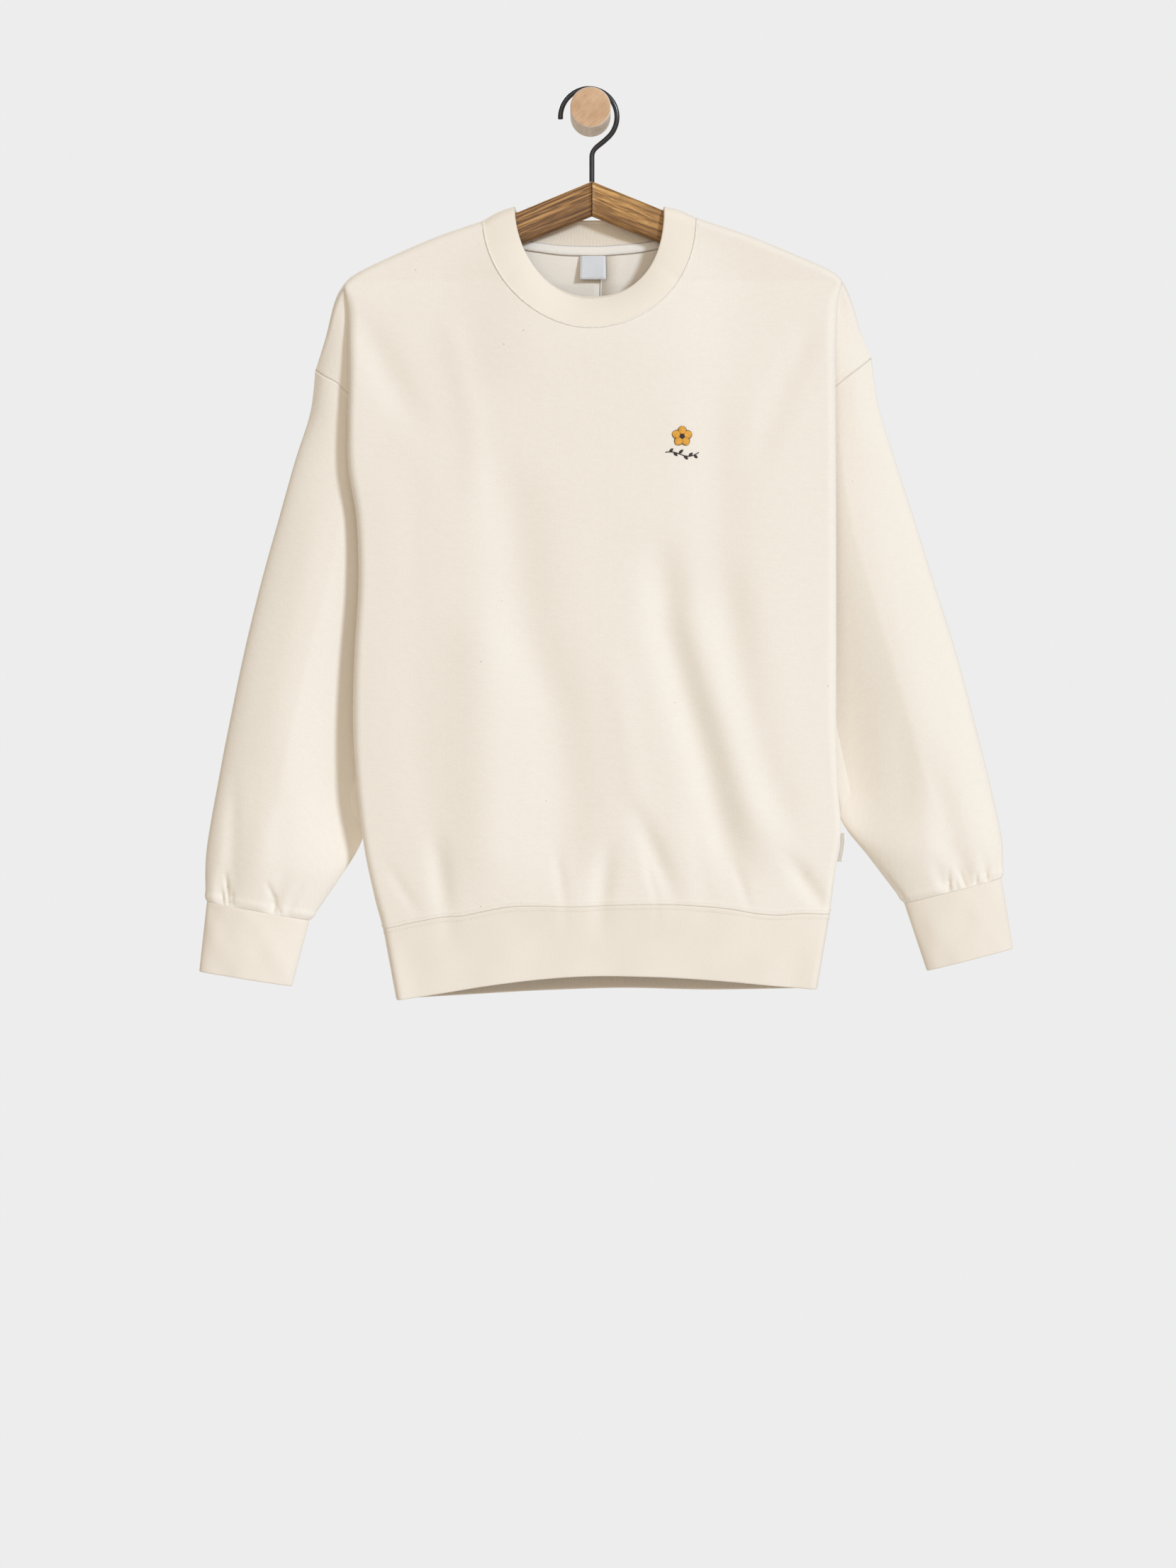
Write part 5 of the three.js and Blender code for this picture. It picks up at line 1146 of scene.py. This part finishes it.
def tape_piece():
    x = np.linspace(-74, 74, 150)
    drops = np.array([-0.9, -0.5, 0.5, 2.1, 3.5, 4.8, 6.0, 6.6, 6.9])
    proud = np.array([0.3, 0.75, 0.4, 0.6, 0.6, 0.35, 0.75, 0.5, 0.0])
    rows = []
    for drop, out in zip(drops, proud):
        line = on_back_neck(x, drop + 0.12 * np.sin(x / 5.3)[:, None])
        line[:, 1] -= CLOTH + 0.2 + out
        rows.append(line)
    grid = np.array(rows)
    uv = np.stack([lengths(grid, 1), -lengths(grid, 0)], -1)
    piece = shell("neck_tape_cloth", grid, False, 1, "tape", TAPE, uv, thickness=0.6, coarse=(2, 3))
    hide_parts("neck_tape")
    beads = []
    for row in (2, 5):
        line = grid[row] + np.array([0, -0.02, 0])
        beads.append(stitches(line, np.tile([0.0, -1.0, 0.0], (len(line), 1)), 2.1, 1.3, 0.55, 0.4))
    threads = build("tape_stitches", *joined(beads), "tape", TAPE_SEWING_SHADED)
    return piece, threads


def label_piece():
    across = np.linspace(-10.8, 10.8, 28)
    down = np.linspace(0, 20.8, 28)
    u, v = np.meshgrid(across, down)
    curl = 0.9 * (v / 20.8) ** 2 * (u / 10.8) ** 2 + 0.35 * np.sin(v / 6)
    lean = math.atan2(4, 20.8)
    x = 2 + u + 0.012 * v * u / 10.8
    y = -20.1 - v * math.sin(lean) - curl
    z = -121.8 - v * math.cos(lean)
    grid = np.stack([x, y, z], -1)
    piece = shell("neck_label_cloth", grid, False, 1, "label", LABEL, np.stack([u, -v], -1), thickness=0.5,
                  coarse=(3, 3))
    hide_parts("neck_label")
    return piece


def side_label_piece():
    z = np.linspace(-613, -637, 24)
    out = np.linspace(0.9, 6.4, 10)
    level = np.linspace(0, 1, 1001)
    seam_z = along(SIDE["left"]["seamZ"], level * LEVELS)
    at = np.interp(-z, -seam_z, level)
    seam = seam_points(FRONT, "left", at)
    grid = np.stack([np.stack([seam[:, 0] + o * 0.6, seam[:, 1] - o * 0.8 - 0.2 * np.sin(z / 5), z], -1) for o in out], 1)
    u, v = np.meshgrid(out, z)
    piece = shell("side_label_cloth", grid, False, -1, "tape", TAB, np.stack([u, v], -1), thickness=0.9, coarse=(2, 2))
    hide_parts("side_label")
    return piece


def centre_seam():
    line = back_left_grid[:, 0][8:] - np.array([0, CLOTH + 0.25, 0])
    up = np.tile([0.0, -1.0, 0.0], (len(line), 1))
    return build("centre_back_seam", *tube(line[::2], up[::2], 0.7, 0.8, 8), "fleece", SEWING)


neck_tape, tape_threads = tape_piece()
neck_label = label_piece()
side_label = side_label_piece()
back_seam = centre_seam()


# Rows of stitches beside the hem seam, on the body and on the rib
def hem_stitches():
    beads = []
    for grid, flip in ((front_grid, -1), (back_right_grid, 1), (back_left_grid, 1)):
        normal = normals_of(grid, False, flip)
        below = lengths(grid, 0)
        columns = np.arange(grid.shape[1])
        rows = np.array([np.searchsorted(below[:, c], below[-1, c] - 4.4) for c in columns])
        up = normal[rows, columns]
        beads.append(stitches(grid[rows, columns] + up * 0.05, up, 1.8, 1.7, 0.6, 0.32, 1.6))
    normal = normals_of(hem_grid, True, -1)
    row = int(np.searchsorted(lengths(hem_grid, 0).mean(1), 3.4))
    beads.append(stitches(hem_grid[row] + normal[row] * 0.05, normal[row], 1.8, 1.5, 0.55, 0.28, -1.6))
    return build("hem_stitches", *joined(beads), "fleece", SEWING)


hem_threads = hem_stitches()


# Embroidery: an amber flower with a dark heart and outline, and a dark sprig
MOTIF = {"x": 77.0, "z": -279.0, "petals": 5, "radius": 8.6, "lift": 0.75}
FRONT_NORMAL = normals_of(front_grid, False, -1)


def motif_surface():
    """The front's face round the motif, as places that a nearest search can read."""
    near = np.hypot(front_grid[..., 0] - MOTIF["x"], front_grid[..., 2] - MOTIF["z"]) < 34
    near &= FRONT_NORMAL[..., 1] < -0.5
    return front_grid[near], FRONT_NORMAL[near]


MOTIF_POINTS, MOTIF_NORMALS = motif_surface()


def on_motif(flat, lift):
    """Flat motif places (across, up) laid on the cloth, at a lift."""
    x, z = MOTIF["x"] + flat[:, 0], MOTIF["z"] + flat[:, 1]
    gap = np.hypot(MOTIF_POINTS[None, :, 0] - x[:, None], MOTIF_POINTS[None, :, 2] - z[:, None])
    weight = 1 / (gap + 0.3) ** 4
    weight /= weight.sum(1, keepdims=True)
    y = weight @ MOTIF_POINTS[:, 1]
    normal = weight @ MOTIF_NORMALS
    return np.stack([x, y, z], -1) + normal * np.asarray(lift)[..., None], normal


def satin(edge_a, edge_b, threads, radius, rise):
    """Threads laid side by side between two edges, arched like satin stitch."""
    parts = []
    for k in range(threads):
        t = (k + 0.5) / threads
        a = pick(edge_a, np.array([t * (len(edge_a) - 1)]))[0]
        b = pick(edge_b, np.array([t * (len(edge_b) - 1)]))[0]
        s = np.linspace(0, 1, 7)
        flat = mix(a[None], b[None], s[:, None])
        lift = 0.15 + rise * np.sqrt(np.clip(np.sin(s * math.pi), 0, 1))
        line, normal = on_motif(flat, lift)
        parts.append(tube(line, normal, radius, radius, 5))
    return parts


def petal_edges(k):
    middle = k / MOTIF["petals"] * 2 * math.pi + 0.3
    s = np.linspace(0, 1, 9)
    reach = 2.2 + (MOTIF["radius"] - 2.2) * s
    half = 3.6 * np.sin(np.clip(s * 0.86 + 0.1, 0, 1) * math.pi) ** 0.7
    axis = np.array([math.cos(middle), math.sin(middle)])
    side = np.array([-axis[1], axis[0]])
    return reach[:, None] * axis + half[:, None] * side, reach[:, None] * axis - half[:, None] * side


def flower_piece():
    parts, outline = [], []
    for k in range(MOTIF["petals"]):
        upper, lower = petal_edges(k)
        parts += satin(upper, lower, 22, 0.24, 0.75)
        ring = np.concatenate([upper, lower[::-1]])
        line, normal = on_motif(ring, np.full(len(ring), 0.35))
        outline.append(tube(line, normal, 0.26, 0.3, 5))
    flower = build("motif_flower_threads", *joined(parts), "amber_thread", AMBER)
    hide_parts("motif_flower")
    turns = np.linspace(0, 3.5 * 2 * math.pi, 60)
    heart = np.stack([np.cos(turns), np.sin(turns)], -1) * (0.3 + 1.9 * turns / turns[-1])[:, None]
    line, normal = on_motif(heart, 0.7 + 0.35 * np.cos(turns / turns[-1] * math.pi / 2))
    outline.append(tube(line, normal, 0.3, 0.32, 5))
    return flower, outline


def sprig_parts():
    t = np.linspace(0, 1, 40)
    stem = np.stack([mix(-14, 14, t), -13.5 - 2.2 * np.sin(t * math.pi) + 1.6 * np.sin(t * 2 * math.pi)], -1)
    line, normal = on_motif(stem, np.full(len(stem), 0.3))
    parts = [tube(line, normal, 0.42, 0.42, 6)]
    for place, turn, long in ((0.12, 1, 4.2), (0.24, -1, 4.6), (0.4, 1, 5.0), (0.55, -1, 4.8), (0.7, 1, 4.4), (0.86, -1, 3.8)):
        at = pick(stem, np.array([place * 39]))[0]
        way = np.array([math.cos(0.75 * turn), math.sin(0.75 * turn)])
        side = np.array([-way[1], way[0]])
        s = np.linspace(0.02, 0.98, 8)[:, None]
        half = 1.15 * np.sin(s * math.pi) ** 0.8
        parts += satin(at + way * long * s + side * half, at + way * long * s - side * half, 14, 0.22, 0.4)
    return parts


motif_flower, dark_parts = flower_piece()
motif_sprig = build("motif_sprig_threads", *joined(dark_parts + sprig_parts()), "dark_thread", DARK)
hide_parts("motif_sprig")


# Hanger arms, hook and peg
APEX_Z, STEM_X, ARM_HEIGHT, ARM_THICKNESS = -59.5, 1.2, 28.0, 10.4
HOOK = {"x": -1.5, "radius": 24.0, "wire": 2.2}
PEG = {"radius": 17.2, "length": 50.0}


def arm_section(top, low, corner=3.4, steps=6):
    """A rounded upright section in (y, z), as a ring."""
    half = ARM_THICKNESS / 2
    height = top - low
    corner = min(corner, half * 0.98, height / 2 * 0.98)
    ring = []
    for centre_y, centre_z, start in ((half - corner, top - corner, 0), (-half + corner, top - corner, 90),
                                      (-half + corner, low + corner, 180), (half - corner, low + corner, 270)):
        for k in range(steps + 1):
            angle = math.radians(start + 90 * k / steps)
            ring.append((centre_y + corner * math.cos(angle), centre_z + corner * math.sin(angle)))
    return np.array(ring)


def arm_piece(side, material):
    outward = 1 if side == "left" else -1
    rows = SHOULDER[side]
    stations = [(STEM_X + outward * 0.004, APEX_Z, APEX_Z - ARM_HEIGHT - 1.5)]
    first = None
    for out in np.linspace(0.002, 1, 60):
        under = CLOTH + mix(3.3, 2.1, float(smooth(out / 0.3)))
        top_x, top_z = float(along(rows["x"], 3 * out)), float(along(rows["z"], 3 * out)) - under - 1.2 * out * out
        if first is None:
            first = (top_x, top_z)
            for t in np.linspace(0, 1, 30)[1:-1]:
                x, z = mix(stations[0][0], top_x, t), mix(APEX_Z, top_z, t)
                stations.append((x, z, z - ARM_HEIGHT - 1.5 * (1 - t)))
        stations.append((top_x, top_z, top_z - ARM_HEIGHT))
    tip_x, tip_z = stations[-1][0], stations[-1][1]
    for turn in np.linspace(0, math.pi / 2, 12)[1:]:
        stations.append((tip_x + outward * 8 * math.sin(turn), tip_z - 14 * (1 - math.cos(turn)) - 0.001,
                         tip_z - 14 * (1 + math.cos(turn)) - 0.3))
    grid, uv = [], []
    run = 0.0
    for k, (x, top, low) in enumerate(stations):
        section = arm_section(top, low)
        if k:
            run += math.hypot(x - stations[k - 1][0], top - stations[k - 1][1])
        grid.append(np.column_stack([np.full(len(section), x), RIDGE_Y + section[:, 0], section[:, 1]]))
        uv.append(np.column_stack([np.full(len(section), run),
                                   section[:, 1] - top + section[:, 0] * 0.6]))
    grid, uv = np.array(grid), np.array(uv)
    rows_n, count = grid.shape[:2]
    faces = quads(rows_n, count, True, 0, outward).tolist()
    start_cap, end_cap = list(range(count)), [(rows_n - 1) * count + i for i in range(count)]
    faces += [start_cap[::-1], end_cap] if outward < 0 else [start_cap, end_cap[::-1]]
    piece = build(f"hanger_arm_{side}_wood", grid.reshape(-1, 3), faces, "oak", material, uv.reshape(-1, 2))
    for cap in (-1, -2):
        piece.data.polygons[cap].use_smooth = False
    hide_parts(f"hanger_arm_{side}")
    return piece


def hook_piece():
    centre_z = PEG["radius"] + 0.1 + HOOK["wire"] - HOOK["radius"]
    turn = np.radians(np.linspace(184, -46, 90))
    arc = np.stack([HOOK["x"] + HOOK["radius"] * np.cos(turn), centre_z + HOOK["radius"] * np.sin(turn)], -1)
    way = np.array([math.sin(turn[-1]), -math.cos(turn[-1])])
    low = np.array([STEM_X, centre_z - HOOK["radius"] - 10])
    t = np.linspace(0, 1, 26)[1:]
    bend = bezier(arc[-1], arc[-1] + way * 12.5, low + np.array([0, 7.5]), low, t)
    stem = np.stack([np.full(8, STEM_X), np.linspace(low[1], APEX_Z - 13, 9)[1:]], -1)
    flat = np.concatenate([arc, bend, stem])
    line = np.column_stack([flat[:, 0], np.full(len(flat), RIDGE_Y), flat[:, 1]])
    start = line[0] + (line[0] - line[1]) / np.linalg.norm(line[0] - line[1]) * 0.3
    line = np.concatenate([start[None], line])
    radius = np.full(len(line), HOOK["wire"])
    radius[0] = HOOK["wire"] - 0.3
    points, faces = tube(line, np.tile([0.0, -1.0, 0.0], (len(line), 1)), radius, radius, 20)
    piece = build("hook_wire", points, faces, "black_metal", BLACK)
    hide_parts("hook")
    return piece


def peg_piece():
    radius, long = PEG["radius"], PEG["length"]
    bevel = [(radius - 1.2 + 1.2 * math.cos(a), long - 1.2 + 1.2 * math.sin(a)) for a in np.linspace(0, math.pi / 2, 7)]
    profile = [(0.0, 0.0), (radius * 0.5, 0.0), (radius - 0.4, 0.0), (radius, 0.4)]
    profile += [(radius, y) for y in np.linspace(6, long - 6, 8)]
    profile += bevel + [(radius * f, long) for f in (0.8, 0.5, 0.2, 0.0)]
    turn = np.linspace(0, 2 * math.pi, 96, endpoint=False)
    grid = np.array([[(r * math.cos(a), -y, r * math.sin(a)) for a in turn] for r, y in profile[1:-1]])
    rows_n, count = grid.shape[:2]
    faces = quads(rows_n, count, True, 0, -1).tolist()
    faces += [list(range(count)), [(rows_n - 1) * count + i for i in range(count)][::-1]]
    piece = build("peg_wood", grid.reshape(-1, 3), faces, "beech", BEECH)
    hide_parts("peg")
    return piece


arm_left = arm_piece("left", OAK_LEFT)
arm_right = arm_piece("right", OAK_RIGHT_SHADED)
hook = hook_piece()
peg = peg_piece()


# Camera, floor and light
def camera_piece():
    data = bpy.data.cameras.new("camera")
    data.lens = 122.97
    data.sensor_width = 36
    data.sensor_fit = "HORIZONTAL"
    data.clip_end = 60
    camera = bpy.data.objects.new("camera", data)
    camera.location = (-0.0021, -3.440, -0.5713)
    camera.rotation_euler = (math.pi / 2, 0, 0)
    bpy.context.scene.collection.objects.link(camera)
    bpy.context.scene.camera = camera


def plain_material(name, shade):
    m = Material(name, 0.9, specular=0.1)
    base = m.ramp(m.noise(m.place(), 3, 2), [(0.3, colour(*[s - 1 for s in shade])), (0.7, colour(*shade))])
    return m.finish(base)


def floor_piece():
    half, z = 1600, -1600
    points = [(-half, -half, z), (half, -half, z), (half, half, z), (-half, half, z)]
    mesh = bpy.data.meshes.new("floor")
    mesh.from_pydata([tuple(c / 1000 for c in p) for p in points], [], [(0, 1, 2, 3)])
    mesh.materials.append(plain_material("pale_floor", (232, 230, 227)))
    floor = bpy.data.objects.new("floor", mesh)
    bpy.context.scene.collection.objects.link(floor)


def light_piece(name, energy, tint, turn, soft):
    data = bpy.data.lights.new(name, "SUN")
    data.energy = energy
    data.color = tint
    data.angle = soft
    light = bpy.data.objects.new(name, data)
    light.rotation_euler = turn
    bpy.context.scene.collection.objects.link(light)


def world_light():
    """Pale grey seen behind the part, and a softer one that lights it."""
    world = bpy.data.worlds.new("studio")
    world.use_nodes = True
    bpy.context.scene.world = world
    tree = world.node_tree
    background = tree.nodes["Background"]
    path = tree.nodes.new("ShaderNodeLightPath")
    choice = tree.nodes.new("ShaderNodeMix")
    choice.data_type = "RGBA"
    tree.links.new(path.outputs["Is Camera Ray"], choice.inputs[0])
    choice.inputs[6].default_value = (*AMBIENT, 1)
    choice.inputs[7].default_value = colour(237, 237, 237)
    tree.links.new(choice.outputs[2], background.inputs["Color"])
    background.inputs["Strength"].default_value = 1.0


AMBIENT = (0.42, 0.375, 0.32)
bpy.context.scene.view_settings.view_transform = "Standard"
camera_piece()
floor_piece()
world_light()
light_piece("key", 2.34, (0.66, 0.775, 0.945), (math.radians(69), 0, math.radians(40)), 0.17)
light_piece("fill", 0.62, (1.0, 0.95, 0.87), (math.radians(80), 0, math.radians(-8)), 0.9)
light_piece("back", 1.9, (0.78, 0.88, 1.0), (math.radians(62), 0, math.radians(205)), 0.6)
